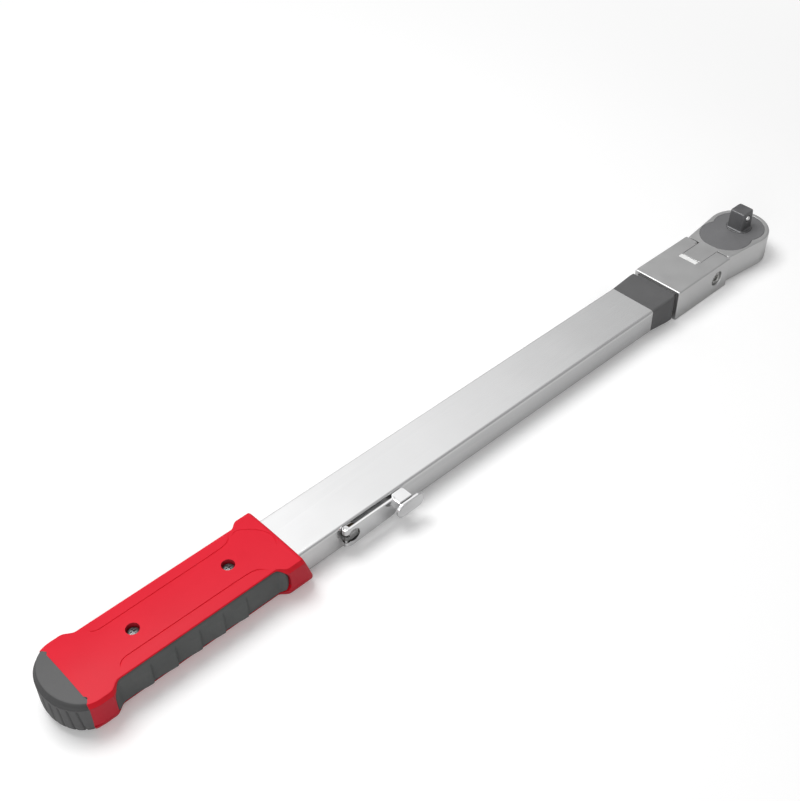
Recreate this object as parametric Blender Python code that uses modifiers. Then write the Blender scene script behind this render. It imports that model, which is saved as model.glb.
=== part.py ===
"""Split beam torque wrench: ratchet head, split beam in a flat tube, folding crank, two-shell grip.

Metres, +Z up, +X from the grip to the head. The origin is the centre of the drive square's end face.
"""
import math

import bmesh
import bpy
from mathutils import Matrix, Vector

MM = 0.001

# Driving dimensions
GAP = 0.3 * MM
DRIVE = 12.7 * MM
DRIVE_LENGTH = 15.7 * MM
HEAD_RADIUS = 23.1 * MM
HEAD_HEIGHT = 23.1 * MM
NECK_X = -39.0 * MM
NECK_HALF = 18.9 * MM
YOKE_FRONT = -39.8 * MM
YOKE_REAR = -101.0 * MM
YOKE_HALF = 20.5 * MM
YOKE_HEIGHT = 25.3 * MM
BOOT_REAR = -128.8 * MM
TUBE_REAR = -597.5 * MM
TUBE_HALF = 19.05 * MM
TUBE_HEIGHT = 19.5 * MM
TUBE_WALL = 1.8 * MM
TUBE_DROP = 1.6 * MM
TUBE_CORNER = 2.2 * MM
CRANK_X = -420.5 * MM
GRIP_FRONT = -460.8 * MM
GRIP_REAR = -604.0 * MM
GRIP_ROUND_X = -598.0 * MM
GRIP_END = -619.0 * MM
GRIP_WAIST_HALF = 22.2 * MM
GRIP_BUMP_HALF = 26.3 * MM
GRIP_RISE = 4.0 * MM

# Levels that follow from them
DECK = -DRIVE_LENGTH
REST = DECK - YOKE_HEIGHT
TUBE_TOP = DECK - TUBE_DROP
TUBE_BOTTOM = TUBE_TOP - TUBE_HEIGHT
TUBE_MID = (TUBE_TOP + TUBE_BOTTOM) / 2
GRIP_TOP = DECK + GRIP_RISE

# Ratchet
GEAR_TEETH = 36
GEAR_TIP = 15.0 * MM
GEAR_ROOT = 13.9 * MM
COVER_RADIUS = 19.4 * MM
COVER_REAR_X = -17.0 * MM
COVER_REAR_RADIUS = 19.6 * MM
COVER_THICK = 2.0 * MM
HUB_RADIUS = 9.3 * MM
PAWL_X = -24.5 * MM
PAWL_TILT = math.radians(5)
BALL_RADIUS = 2.55 * MM
BALL_Z = -5.6 * MM

# Setting gear
PINION_TEETH = 10
MODULE = 1.0 * MM
PRESSURE = math.radians(25)
ADDENDUM = 0.8 * MM
DEDENDUM = 1.1 * MM
BACKLASH = 0.2 * MM
CRANK_Z = TUBE_MID + 1.7 * MM
PIN_X = CRANK_X - 4.3 * MM
PIN_Y = -21.75 * MM
KNUCKLE_RADIUS = 2.3 * MM
ARM_THICK = 1.8 * MM
ARM_OUTER = PIN_Y - KNUCKLE_RADIUS

for old in list(bpy.data.objects):
    bpy.data.objects.remove(old, do_unlink=True)

PARTS = bpy.data.collections.new("split_beam_torque_wrench")
TOOLS = bpy.data.collections.new("cutters")
bpy.context.scene.collection.children.link(PARTS)
bpy.context.scene.collection.children.link(TOOLS)


def material(name, colour, metallic, roughness):
    """Principled material with one colour, metallic value and roughness."""
    made = bpy.data.materials.new(name)
    made.use_nodes = True
    shader = made.node_tree.nodes["Principled BSDF"]
    shader.inputs["Base Color"].default_value = (*colour, 1.0)
    shader.inputs["Metallic"].default_value = metallic
    shader.inputs["Roughness"].default_value = roughness
    return made


HEAD_STEEL = material("head_steel", (0.42, 0.42, 0.41), 0.9, 0.38)
DARK_STEEL = material("dark_steel", (0.12, 0.12, 0.12), 0.7, 0.5)
BRIGHT_STEEL = material("bright_steel", (0.78, 0.78, 0.78), 1.0, 0.12)
TUBE_STEEL = material("tube_steel", (0.66, 0.66, 0.67), 1.0, 0.26)
SPRING_STEEL = material("spring_steel", (0.35, 0.35, 0.36), 0.9, 0.35)
BRONZE = material("bronze", (0.45, 0.30, 0.14), 0.9, 0.4)
SOFT_GREY = material("soft_grey", (0.10, 0.10, 0.10), 0.0, 0.75)
RED_SHELL = material("red_shell", (0.75, 0.03, 0.05), 0.0, 0.4)
BLACK_PLASTIC = material("black_plastic", (0.03, 0.03, 0.03), 0.0, 0.5)
SCALE_WHITE = material("scale_white", (0.85, 0.85, 0.82), 0.0, 0.6)
CLEAR = material("clear_lens", (0.9, 0.95, 0.95), 0.0, 0.05)


# Making and joining shapes

def keep(obj, paint, smooth=35):
    """Link a finished sub-part, give it its material and smooth its round faces."""
    PARTS.objects.link(obj)
    obj.data.materials.clear()
    obj.data.materials.append(paint)
    obj.data.shade_smooth()
    obj.data.set_sharp_from_angle(angle=math.radians(smooth))
    return obj


def tool(obj):
    """Link a shape that only cuts or is joined, so that it isn't a sub-part."""
    TOOLS.objects.link(obj)
    obj.hide_render = True
    obj.display_type = "WIRE"
    return obj


def from_bmesh(name, bm):
    """Object from a bmesh, which is freed."""
    mesh = bpy.data.meshes.new(name)
    bm.to_mesh(mesh)
    bm.free()
    return bpy.data.objects.new(name, mesh)


def box(name, x, y, z):
    """Box between two values along each axis."""
    bm = bmesh.new()
    size = Matrix.Diagonal((x[1] - x[0], y[1] - y[0], z[1] - z[0], 1))
    centre = Matrix.Translation(((x[0] + x[1]) / 2, (y[0] + y[1]) / 2, (z[0] + z[1]) / 2))
    bmesh.ops.create_cube(bm, size=1, matrix=centre @ size)
    return from_bmesh(name, bm)


def rod(name, start, end, radius, sides=24, end_radius=None):
    """Cylinder or cone between two points, standing at the world origin."""
    start, end = Vector(start), Vector(end)
    way = end - start
    turn = Vector((0, 0, 1)).rotation_difference(way).to_matrix().to_4x4()
    place = Matrix.Translation((start + end) / 2) @ turn
    bm = bmesh.new()
    bmesh.ops.create_cone(bm, cap_ends=True, segments=sides, radius1=radius,
                          radius2=radius if end_radius is None else end_radius,
                          depth=way.length, matrix=place)
    return from_bmesh(name, bm)


def arc(centre, radius, start, end, steps):
    """Points on an arc between two angles in degrees, both ends included."""
    angles = [math.radians(start + (end - start) * i / steps) for i in range(steps + 1)]
    return [(centre[0] + radius * math.cos(a), centre[1] + radius * math.sin(a)) for a in angles]


def rounded(low, high, radius, steps=4):
    """Rectangle between two corners with four round corners, anticlockwise."""
    corners = ((high[0], high[1], 0), (low[0], high[1], 90), (low[0], low[1], 180), (high[0], low[1], 270))
    points = []
    for px, py, turn in corners:
        cx = px - radius if px == high[0] else px + radius
        cy = py - radius if py == high[1] else py + radius
        points += arc((cx, cy), radius, turn, turn + 90, steps)
    return points


def circle(centre, radius, steps=32):
    """Whole circle as an outline."""
    return arc(centre, radius, 0, 360, steps)[:-1]


def plate(name, outlines, low, high, normal="z"):
    """Flat outline, with any holes after it, filled and extruded along one axis.

    Outline points are (x, y) for normal z, (x, z) for normal y and (y, z) for normal x.
    """
    curve = bpy.data.curves.new(name, "CURVE")
    curve.dimensions = "2D"
    curve.fill_mode = "BOTH"
    curve.extrude = (high - low) / 2
    for outline in outlines:
        spline = curve.splines.new("POLY")
        spline.points.add(len(outline) - 1)
        for point, (a, b) in zip(spline.points, outline):
            point.co = (a, b, 0, 1)
        spline.use_cyclic_u = True
    middle = (low + high) / 2
    upright = Matrix(((0, 0, 1, 0), (1, 0, 0, 0), (0, 1, 0, 0), (0, 0, 0, 1)))
    place = {
        "z": Matrix.Translation((0, 0, middle)),
        "y": Matrix.Translation((0, middle, 0)) @ Matrix.Rotation(math.pi / 2, 4, "X"),
        "x": Matrix.Translation((middle, 0, 0)) @ upright,
    }[normal]
    return curve_to_mesh(name, curve, place)


def curve_to_mesh(name, curve, place=Matrix.Identity(4)):
    """Evaluate a curve, weld its caps and bake its place into the mesh."""
    source = bpy.data.objects.new(name + "_curve", curve)
    source.matrix_world = place
    bpy.context.scene.collection.objects.link(source)
    evaluated = source.evaluated_get(bpy.context.evaluated_depsgraph_get())
    mesh = bpy.data.meshes.new_from_object(evaluated)
    bm = bmesh.new()
    bm.from_mesh(mesh)
    bmesh.ops.remove_doubles(bm, verts=bm.verts, dist=1e-7)
    bmesh.ops.transform(bm, matrix=source.matrix_world.copy(), verts=bm.verts)
    bmesh.ops.recalc_face_normals(bm, faces=bm.faces)
    bpy.data.objects.remove(source, do_unlink=True)
    bpy.data.meshes.remove(mesh)
    return from_bmesh(name, bm)


def wire(name, points, radius, resolution=1):
    """Round wire along points, with filled ends."""
    curve = bpy.data.curves.new(name, "CURVE")
    curve.dimensions = "3D"
    curve.bevel_depth = radius
    curve.bevel_resolution = resolution
    curve.use_fill_caps = True
    spline = curve.splines.new("POLY")
    spline.points.add(len(points) - 1)
    for point, co in zip(spline.points, points):
        point.co = (*co, 1)
    return curve_to_mesh(name, curve)


def turned(name, profile, steps=32, ring=False):
    """Profile of (radius, z) points, top to bottom, turned about the drive axis."""
    mesh = bpy.data.meshes.new(name)
    verts = [(radius, 0, z) for radius, z in profile]
    edges = [(i, i + 1) for i in range(len(verts) - 1)]
    if ring:
        edges.append((len(verts) - 1, 0))
    mesh.from_pydata(verts, edges, [])
    obj = bpy.data.objects.new(name, mesh)
    screw = obj.modifiers.new("turn", "SCREW")
    screw.steps = steps
    screw.render_steps = steps
    screw.use_merge_vertices = True
    screw.merge_threshold = 1e-6
    return obj


def boolean(obj, kind, others):
    """Add one exact Boolean for each other shape."""
    for other in others:
        step = obj.modifiers.new(other.name, "BOOLEAN")
        step.operation = kind
        step.solver = "EXACT"
        step.object = tool(other)
    return obj


def cut(obj, *others):
    """Take the other shapes out of obj."""
    return boolean(obj, "DIFFERENCE", others)


def join(obj, *others):
    """Add the other shapes to obj."""
    return boolean(obj, "UNION", others)


def bevel(obj, width, segments=2, angle=40):
    """Round every edge sharper than an angle."""
    step = obj.modifiers.new("edges", "BEVEL")
    step.width = width
    step.segments = segments
    step.limit_method = "ANGLE"
    step.angle_limit = math.radians(angle)
    return obj


def set_origin(obj, point):
    """Move an object's origin to a point and leave its shape where it is."""
    shift = Vector(point) - obj.location
    obj.data.transform(Matrix.Translation(-shift))
    obj.location = Vector(point)
    return obj


def hold_on(joint_name, point, *objs):
    """Parent sub-parts to an empty that stands on their joint's axis."""
    empty = bpy.data.objects.new(joint_name, None)
    PARTS.objects.link(empty)
    empty.location = point
    for obj in objs:
        obj.parent = empty
        obj.matrix_parent_inverse = Matrix.Translation(point).inverted()
    return empty


def loft(name, rings):
    """Closed solid through rings of equal length, capped at both ends."""
    bm = bmesh.new()
    rows = [[bm.verts.new(point) for point in ring] for ring in rings]
    count = len(rows[0])
    for near, far in zip(rows, rows[1:]):
        for i in range(count):
            bm.faces.new((near[i], near[(i + 1) % count], far[(i + 1) % count], far[i]))
    bm.faces.new(rows[0])
    bm.faces.new(rows[-1])
    bmesh.ops.recalc_face_normals(bm, faces=bm.faces)
    return from_bmesh(name, bm)


# Ratchet head

def neck_outline():
    """Round head with straight sides that run tangent to the neck's shoulder."""
    reach = math.hypot(NECK_X, NECK_HALF)
    tangent = math.degrees(math.atan2(NECK_HALF, NECK_X) - math.acos(HEAD_RADIUS / reach))
    return arc((0, 0), HEAD_RADIUS, -tangent, tangent, 32) + [(NECK_X, NECK_HALF), (NECK_X, -NECK_HALF)]


def cover_outline(grow=0.0):
    """Two overlapping circles, one on the drive axis and one over the pawl."""
    front, rear = COVER_RADIUS + grow, COVER_REAR_RADIUS + grow
    meet_x = (front ** 2 - rear ** 2 + COVER_REAR_X ** 2) / (2 * COVER_REAR_X)
    front_angle = math.degrees(math.acos(meet_x / front))
    rear_angle = math.degrees(math.acos((meet_x - COVER_REAR_X) / rear))
    points = arc((0, 0), front, -front_angle, front_angle, 24)
    return points + arc((COVER_REAR_X, 0), rear, rear_angle, 360 - rear_angle, 24)[1:-1]


def ratchet_outline(tip, root, tip_half, root_half, centre=(0, 0), turn=0.0):
    """Symmetrical ratchet teeth; half widths in degrees at the tip and at the root."""
    points = []
    for tooth in range(GEAR_TEETH):
        middle = turn + tooth * 360 / GEAR_TEETH
        for offset, radius in ((-root_half, root), (-tip_half, tip), (tip_half, tip), (root_half, root)):
            points += arc(centre, radius, middle + offset, middle + offset, 1)[:1]
    return points


COVER_PINS = ((-12.5 * MM, 15.8 * MM), (-12.5 * MM, -15.8 * MM))
COVER_PIN_RADIUS = 1.9 * MM
PIN_GAP = 0.1 * MM
SHANK_REAR = -66.0 * MM
SHANK_HALF = 15.0 * MM
SHANK_TOP = DECK - 3.2 * MM
SHANK_BOTTOM = DECK - 20.6 * MM
TONGUE_REAR = -60.0 * MM
TONGUE_HALF = 8.2 * MM
GEAR_TOP = DECK - 3.2 * MM
GEAR_BOTTOM = DECK - 17.4 * MM
JOURNAL_RADIUS = 8.1 * MM
SPINDLE_RADIUS = 3.0 * MM
LEVER_POCKET_TOP = DECK - 21.8 * MM
LEVER_REACH = 12.2 * MM
SIDE_SCREW_X = -53.2 * MM
SIDE_SCREW_Z = TUBE_MID - 0.3 * MM
SCREW_HEAD_RADIUS = 5.2 * MM
COUNTERBORE_RADIUS = 5.8 * MM
HEX_RADIUS = 3.1 * MM
BEAM_HALF = 3.85 * MM
BEAM_TALL = 8.4 * MM
BEAM_REAR = -310.0 * MM
SENSOR_Y = (8.7 * MM, 11.0 * MM)
SENSOR_TALL = 8.0 * MM
SENSOR_REAR = -320.2 * MM
BEAM_FRONT = -51.0 * MM
RIVET_XS = (-56.0 * MM, -62.0 * MM)
SENSOR_SCREW_X = -61.8 * MM
SENSOR_SCREW_ZS = (TUBE_MID + 2.1 * MM, TUBE_MID - 2.1 * MM)


def make_ratchet_head():
    """Forged head with its shank, bored for the gear, pawl, spindle and beams."""
    head = bevel(plate("ratchet_head", [neck_outline()], DECK - HEAD_HEIGHT, DECK), 1.2 * MM)
    overlap = NECK_X + 3 * MM
    join(head,
         box("tongue", (TONGUE_REAR, overlap), (-TONGUE_HALF, TONGUE_HALF), (SHANK_BOTTOM + MM, DECK)),
         box("shank", (SHANK_REAR, overlap), (-SHANK_HALF, SHANK_HALF), (SHANK_BOTTOM, SHANK_TOP)))
    recess = DECK - COVER_THICK - GAP
    over = 5 * MM
    cut(head,
        plate("cover_recess", [cover_outline(0.2 * MM)], recess, DECK + over),
        rod("gear_chamber", (0, 0, DECK), (0, 0, GEAR_BOTTOM - GAP), GEAR_TIP + 0.6 * MM, 36),
        rod("journal_bore", (0, 0, DECK), (0, 0, REST), JOURNAL_RADIUS + GAP, 28),
        rod("pawl_chamber", (-21.8 * MM, 0, DECK), (-21.8 * MM, 0, DECK - 13.8 * MM), 12.2 * MM, 30),
        rod("spindle_bore", (PAWL_X, 0, DECK), (PAWL_X, 0, REST), SPINDLE_RADIUS + GAP, 20),
        rod("lever_pocket", (PAWL_X, 0, LEVER_POCKET_TOP), (PAWL_X, 0, REST), LEVER_REACH + 0.6 * MM, 30))
    pin_bore = COVER_PIN_RADIUS + PIN_GAP
    for i, (x, y) in enumerate(COVER_PINS):
        cut(head, rod(f"cover_pin_bore_{i}", (x, y, DECK), (x, y, DECK - 6 * MM), pin_bore, 16))
    slot_half = BEAM_HALF + GAP
    cut(head,
        box("beam_slot", (SHANK_REAR - MM, BEAM_FRONT + 0.5 * MM), (-slot_half, slot_half),
            (SHANK_BOTTOM - MM, SHANK_TOP - 1.6 * MM)),
        box("sensor_slot", (SHANK_REAR - MM, BEAM_FRONT + 0.5 * MM), (SENSOR_Y[0] - GAP, SENSOR_Y[1] + GAP),
            (TUBE_MID - SENSOR_TALL / 2 - GAP, TUBE_MID + SENSOR_TALL / 2 + GAP)))
    for i, x in enumerate(RIVET_XS):
        cut(head, rod(f"rivet_bore_{i}", (x, 0, SHANK_TOP - 0.7 * MM), (x, 0, REST), 2.3 * MM, 16))
    for side in (-1, 1):
        cut(head, rod(f"side_dimple_{side + 1}", (SIDE_SCREW_X, side * 13.6 * MM, SIDE_SCREW_Z),
                      (SIDE_SCREW_X, side * 17 * MM, SIDE_SCREW_Z), 3.2 * MM, 16))
    for i, z in enumerate(SENSOR_SCREW_ZS):
        cut(head, rod(f"sensor_screw_bore_{i}", (SENSOR_SCREW_X, 5.4 * MM, z), (SENSOR_SCREW_X, 16 * MM, z),
                      1.4 * MM, 12))
    return keep(head, HEAD_STEEL)


def make_cover():
    """Flat cover plate over the gear, with its two locating pins."""
    holes = [circle((0, 0), HUB_RADIUS + 0.7 * MM)]
    holes += [circle(pin, COVER_PIN_RADIUS + PIN_GAP, 16) for pin in COVER_PINS]
    keep(plate("cover_plate", [cover_outline()] + holes, DECK - COVER_THICK, DECK), DARK_STEEL)
    for side, (x, y) in zip(("far", "near"), COVER_PINS):
        top, bottom = DECK + 0.1 * MM, DECK - 5.6 * MM
        pin = rod(f"cover_pin_{side}", (x, y, bottom), (x, y, top), COVER_PIN_RADIUS, 16)
        keep(bevel(pin, 0.2 * MM, 1), DARK_STEEL)


def make_drive():
    """Toothed drive gear with the square, its spring ball and the thrust washer."""
    gear = plate("drive_gear", [ratchet_outline(GEAR_TIP, GEAR_ROOT, 1.2, 3.6)], GEAR_BOTTOM, GEAR_TOP)
    hub_top = DECK + 0.3 * MM
    journal_end = DECK - HEAD_HEIGHT + 0.3 * MM
    hub = turned("hub", [(0, hub_top), (HUB_RADIUS - 0.4 * MM, hub_top), (HUB_RADIUS, hub_top - 0.4 * MM),
                         (HUB_RADIUS, GEAR_TOP - MM), (JOURNAL_RADIUS, GEAR_TOP - MM),
                         (JOURNAL_RADIUS, journal_end + 0.5 * MM), (JOURNAL_RADIUS - 0.5 * MM, journal_end),
                         (0, journal_end)], 28)
    half = DRIVE / 2
    square = box("square", (-half, half), (-half, half), (DECK - 2 * MM, 0))
    nose = [(0, 0), (7.0 * MM, 0), (7.8 * MM, -0.5 * MM), (8.5 * MM, -1.6 * MM), (8.9 * MM, -3.2 * MM),
            (9.2 * MM, -4.8 * MM), (9.2 * MM, DECK - 3 * MM), (0, DECK - 3 * MM)]
    boolean(square, "INTERSECT", [turned("nose", nose, 32)])
    join(gear, hub, square)
    bore = BALL_RADIUS + GAP
    bore_end = 3.0 * MM
    cut(gear, rod("ball_bore", (0, -half - 2 * MM, BALL_Z), (0, bore_end, BALL_Z), bore, 18))
    keep(gear, DARK_STEEL)
    washer = [(9.9 * MM, DECK - 2.3 * MM), (14.8 * MM, DECK - 2.3 * MM),
              (14.8 * MM, DECK - 2.9 * MM), (9.9 * MM, DECK - 2.9 * MM)]
    keep(turned("gear_washer", washer, 28, ring=True), SPRING_STEEL)
    ball_y = -half + BALL_RADIUS - 1.15 * MM
    bm = bmesh.new()
    bmesh.ops.create_uvsphere(bm, u_segments=16, v_segments=8, radius=BALL_RADIUS,
                              matrix=Matrix.Translation((0, ball_y, BALL_Z)))
    ball = keep(from_bmesh("detent_ball", bm), BRIGHT_STEEL)
    wire_radius = 0.28 * MM
    coil_start = ball_y + BALL_RADIUS + GAP + wire_radius
    coil_end = bore_end - GAP - wire_radius
    spring = keep(wire("detent_spring", coil_points((0, coil_start, BALL_Z), (0, coil_end, BALL_Z),
                                                    1.9 * MM, 4), wire_radius), SPRING_STEEL)
    hold_on("detent_press", (0, ball_y, BALL_Z), ball)
    hold_on("drive_spin", (0, 0, DECK), gear, spring)


def coil_points(start, end, radius, turns, per_turn=8):
    """Helix between two points along X, Y or Z."""
    start, end = Vector(start), Vector(end)
    way = end - start
    side = way.orthogonal().normalized()
    other = way.normalized().cross(side)
    count = turns * per_turn
    points = []
    for i in range(count + 1):
        angle = 2 * math.pi * i / per_turn
        points.append(start + way * i / count + radius * (math.cos(angle) * side + math.sin(angle) * other))
    return points


def make_pawl():
    """Double-ended pawl, cut clear of the gear all the way from one end's teeth to the other's."""
    half = [(-5.5, 3.5), (-3.0, 7.5), (3.5, 10.0), (12.0, 8.5)]
    outline = [(a * MM, -b * MM) for a, b in half] + [(a * MM, b * MM) for a, b in reversed(half)]
    pawl = plate("ratchet_pawl", [outline], DECK - 13.4 * MM, DECK - 3.4 * MM)
    tilts = 7
    clearance = 0.35 * MM
    for i in range(tilts):
        turn = PAWL_TILT * (2 * i / (tilts - 1) - 1)
        centre = (-PAWL_X * math.cos(turn), -PAWL_X * math.sin(turn))
        tip, root = GEAR_TIP + clearance, GEAR_ROOT + clearance
        teeth = ratchet_outline(tip, root, 2.1, 4.4, centre, math.degrees(turn))
        cut(pawl, plate(f"pawl_teeth_{i}", [teeth], REST, DECK + MM))
    cut(pawl, rod("pawl_bore", (0, 0, REST), (0, 0, DECK), SPINDLE_RADIUS + GAP, 20))
    pawl.location = (PAWL_X, 0, 0)
    pawl.rotation_euler = (0, 0, PAWL_TILT)
    for step in pawl.modifiers:
        step.object.parent = pawl
    keep(pawl, SPRING_STEEL)


def make_reversing_lever():
    """Thumb lever under the neck, on the spindle that carries the pawl."""
    low, high = REST + 0.4 * MM, LEVER_POCKET_TOP - GAP
    turn = math.radians(-27.5)
    hub_radius, tip_radius = 6.6 * MM, 3.0 * MM
    outline = arc((0, 0), hub_radius, 60, 300, 20)
    outline += arc((LEVER_REACH - tip_radius, 0), tip_radius, -80, 80, 10)
    lever = plate("reversing_lever", [outline], low, high)
    lever.data.transform(Matrix.Rotation(turn, 4, "Z"))
    bevel(lever, 0.5 * MM, 1)
    join(lever, rod("spindle", (0, 0, high - MM), (0, 0, DECK - 3.6 * MM), SPINDLE_RADIUS, 20))
    for x in (8.4 * MM, 10.4 * MM):
        ridge = box(f"thumb_groove_{round(x / MM)}", (x - 0.35 * MM, x + 0.35 * MM), (-5 * MM, 5 * MM),
                    (low - MM, low + 0.5 * MM))
        ridge.data.transform(Matrix.Rotation(turn, 4, "Z"))
        cut(lever, ridge)
    lever.location = (PAWL_X, 0, 0)
    for step in lever.modifiers:
        if step.type == "BOOLEAN":
            step.object.parent = lever
    keep(lever, BRIGHT_STEEL)


# Yoke, boot and tube

SPIGOT_HALF = 16.9 * MM
SPIGOT_TALL = 15.3 * MM
NECK_SLEEVE_HALF = 14.8 * MM
NECK_SLEEVE_TALL = 13.2 * MM
SPIGOT_REAR = -165.0 * MM
BOOT_FRONT = -104.5 * MM
TUBE_FRONT = BOOT_REAR - GAP
SPIGOT_FRONT = TUBE_FRONT + MM
TUBE_SCREW_XS = (-140.0 * MM, -155.0 * MM)


def level_box(name, x, half, tall, middle=TUBE_MID):
    """Box centred on the wrench's plane, given its half width and height."""
    return box(name, x, (-half, half), (middle - tall / 2, middle + tall / 2))


def make_yoke():
    """Housing round the head's shank, with the spigot that goes into the tube."""
    block = box("yoke_housing", (YOKE_REAR, YOKE_FRONT), (-YOKE_HALF, YOKE_HALF), (REST, DECK))
    yoke = bevel(block, 1.0 * MM)
    join(yoke,
         level_box("neck_sleeve", (SPIGOT_FRONT - 2 * MM, -95.0 * MM), NECK_SLEEVE_HALF, NECK_SLEEVE_TALL),
         level_box("spigot", (SPIGOT_REAR, SPIGOT_FRONT), SPIGOT_HALF, SPIGOT_TALL))
    front_wall = -90.0 * MM
    cut(yoke,
        box("shank_room", (front_wall, YOKE_FRONT + MM), (-SHANK_HALF - 0.4 * MM, SHANK_HALF + 0.4 * MM),
            (SHANK_BOTTOM - 0.4 * MM, SHANK_TOP + 0.4 * MM)),
        box("tongue_slot", (TONGUE_REAR - GAP, YOKE_FRONT + MM), (-TONGUE_HALF - GAP, TONGUE_HALF + GAP),
            (SHANK_TOP - MM, DECK + MM)),
        box("slot_relief", (YOKE_FRONT - 3.4 * MM, YOKE_FRONT + MM), (TONGUE_HALF, TONGUE_HALF + 1.6 * MM),
            (SHANK_TOP - MM, DECK + MM)),
        level_box("beam_passage", (SPIGOT_REAR - MM, front_wall + MM), 12.4 * MM, 10.4 * MM))
    pocket = level_box("boot_pocket", (YOKE_REAR - MM, -96.0 * MM), 17.3 * MM, 17.8 * MM)
    core = (YOKE_REAR - 2 * MM, -95.0 * MM)
    cut(pocket, level_box("pocket_core", core, NECK_SLEEVE_HALF, NECK_SLEEVE_TALL))
    cut(yoke, pocket)
    for side in (-1, 1):
        out, seat, inner = side * 22 * MM, side * 17 * MM, side * 15 * MM
        cut(yoke,
            rod(f"screw_counterbore_{side + 1}", (SIDE_SCREW_X, out, SIDE_SCREW_Z),
                (SIDE_SCREW_X, seat, SIDE_SCREW_Z), COUNTERBORE_RADIUS, 28),
            rod(f"screw_thread_{side + 1}", (SIDE_SCREW_X, out, SIDE_SCREW_Z),
                (SIDE_SCREW_X, inner, SIDE_SCREW_Z), 3.2 * MM, 20))
    for i, x in enumerate(TUBE_SCREW_XS):
        cut(yoke, rod(f"spigot_thread_{i}", (x, 0, TUBE_MID), (x, 0, REST), 1.9 * MM, 14))
    keep(yoke, HEAD_STEEL)
    for side, word in ((-1, "near"), (1, "far")):
        make_side_screw(word, side)


def make_side_screw(word, side):
    """Hex-socket screw that clamps the shank from one cheek."""
    face, seat, tip = side * 19.7 * MM, side * 17.3 * MM, side * 14.0 * MM
    screw = rod(f"side_screw_{word}", (SIDE_SCREW_X, face, SIDE_SCREW_Z),
                (SIDE_SCREW_X, seat, SIDE_SCREW_Z), SCREW_HEAD_RADIUS, 24)
    bevel(screw, 0.4 * MM, 1)
    join(screw, rod(f"side_screw_stem_{word}", (SIDE_SCREW_X, seat + side * MM, SIDE_SCREW_Z),
                    (SIDE_SCREW_X, tip, SIDE_SCREW_Z), 2.85 * MM, 16))
    cut(screw, rod(f"side_screw_hex_{word}", (SIDE_SCREW_X, face + side * MM, SIDE_SCREW_Z),
                   (SIDE_SCREW_X, side * 17.6 * MM, SIDE_SCREW_Z), HEX_RADIUS, 6))
    keep(screw, BRIGHT_STEEL)


def make_boot():
    """Rubber sleeve between tube and yoke, flared at its front and necked into the yoke."""
    rings = []
    flange_top, flange_bottom = DECK - 0.8 * MM, DECK - 22.9 * MM
    for x, half, top, bottom, radius in (
            (BOOT_REAR, TUBE_HALF, TUBE_TOP, TUBE_BOTTOM, TUBE_CORNER),
            (BOOT_REAR + 10 * MM, 19.25 * MM, TUBE_TOP + 0.25 * MM, TUBE_BOTTOM - 0.6 * MM, 2.0 * MM),
            (BOOT_FRONT - 1.0 * MM, 19.7 * MM, flange_top, flange_bottom, 1.6 * MM),
            (BOOT_FRONT, 19.2 * MM, flange_top - 0.5 * MM, flange_bottom + 0.5 * MM, 1.2 * MM)):
        rings.append([(x, y, z) for y, z in rounded((-half, bottom), (half, top), radius, 3)])
    boot = loft("boot_sleeve", rings)
    join(boot, level_box("boot_neck", (BOOT_FRONT - 2 * MM, -96.4 * MM), 17.0 * MM, 17.2 * MM))
    cut(boot, level_box("boot_bore", (BOOT_REAR - MM, -95.0 * MM), NECK_SLEEVE_HALF + GAP,
                        NECK_SLEEVE_TALL + 2 * GAP),
        level_box("boot_step", (BOOT_REAR - MM, SPIGOT_FRONT + 1.1 * MM), SPIGOT_HALF + GAP,
                  SPIGOT_TALL + 2 * GAP))
    keep(boot, SOFT_GREY)


def make_tube_screw(number, x):
    """Countersunk hex-socket screw in the tube's underside, which holds the yoke's spigot."""
    head_low, head_high, tip = TUBE_BOTTOM + 0.1 * MM, TUBE_BOTTOM + 1.7 * MM, TUBE_BOTTOM + 4.4 * MM
    screw = rod(f"tube_screw_{number}", (x, 0, head_low), (x, 0, head_high), 3.0 * MM, 20, 2.4 * MM)
    join(screw, rod(f"tube_screw_stem_{number}", (x, 0, head_high - 0.2 * MM), (x, 0, tip), 1.6 * MM, 14))
    socket_top = TUBE_BOTTOM + 1.2 * MM
    cut(screw, rod(f"tube_screw_hex_{number}", (x, 0, TUBE_BOTTOM - MM), (x, 0, socket_top), 1.3 * MM, 6))
    keep(screw, DARK_STEEL)


WINDOW_X = (-397.0 * MM, -369.0 * MM)
WINDOW_HALF = 7.2 * MM
GRIP_SCREW_XS = (-560.8 * MM, -495.3 * MM)
BUSH_RADIUS = 5.4 * MM


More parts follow.
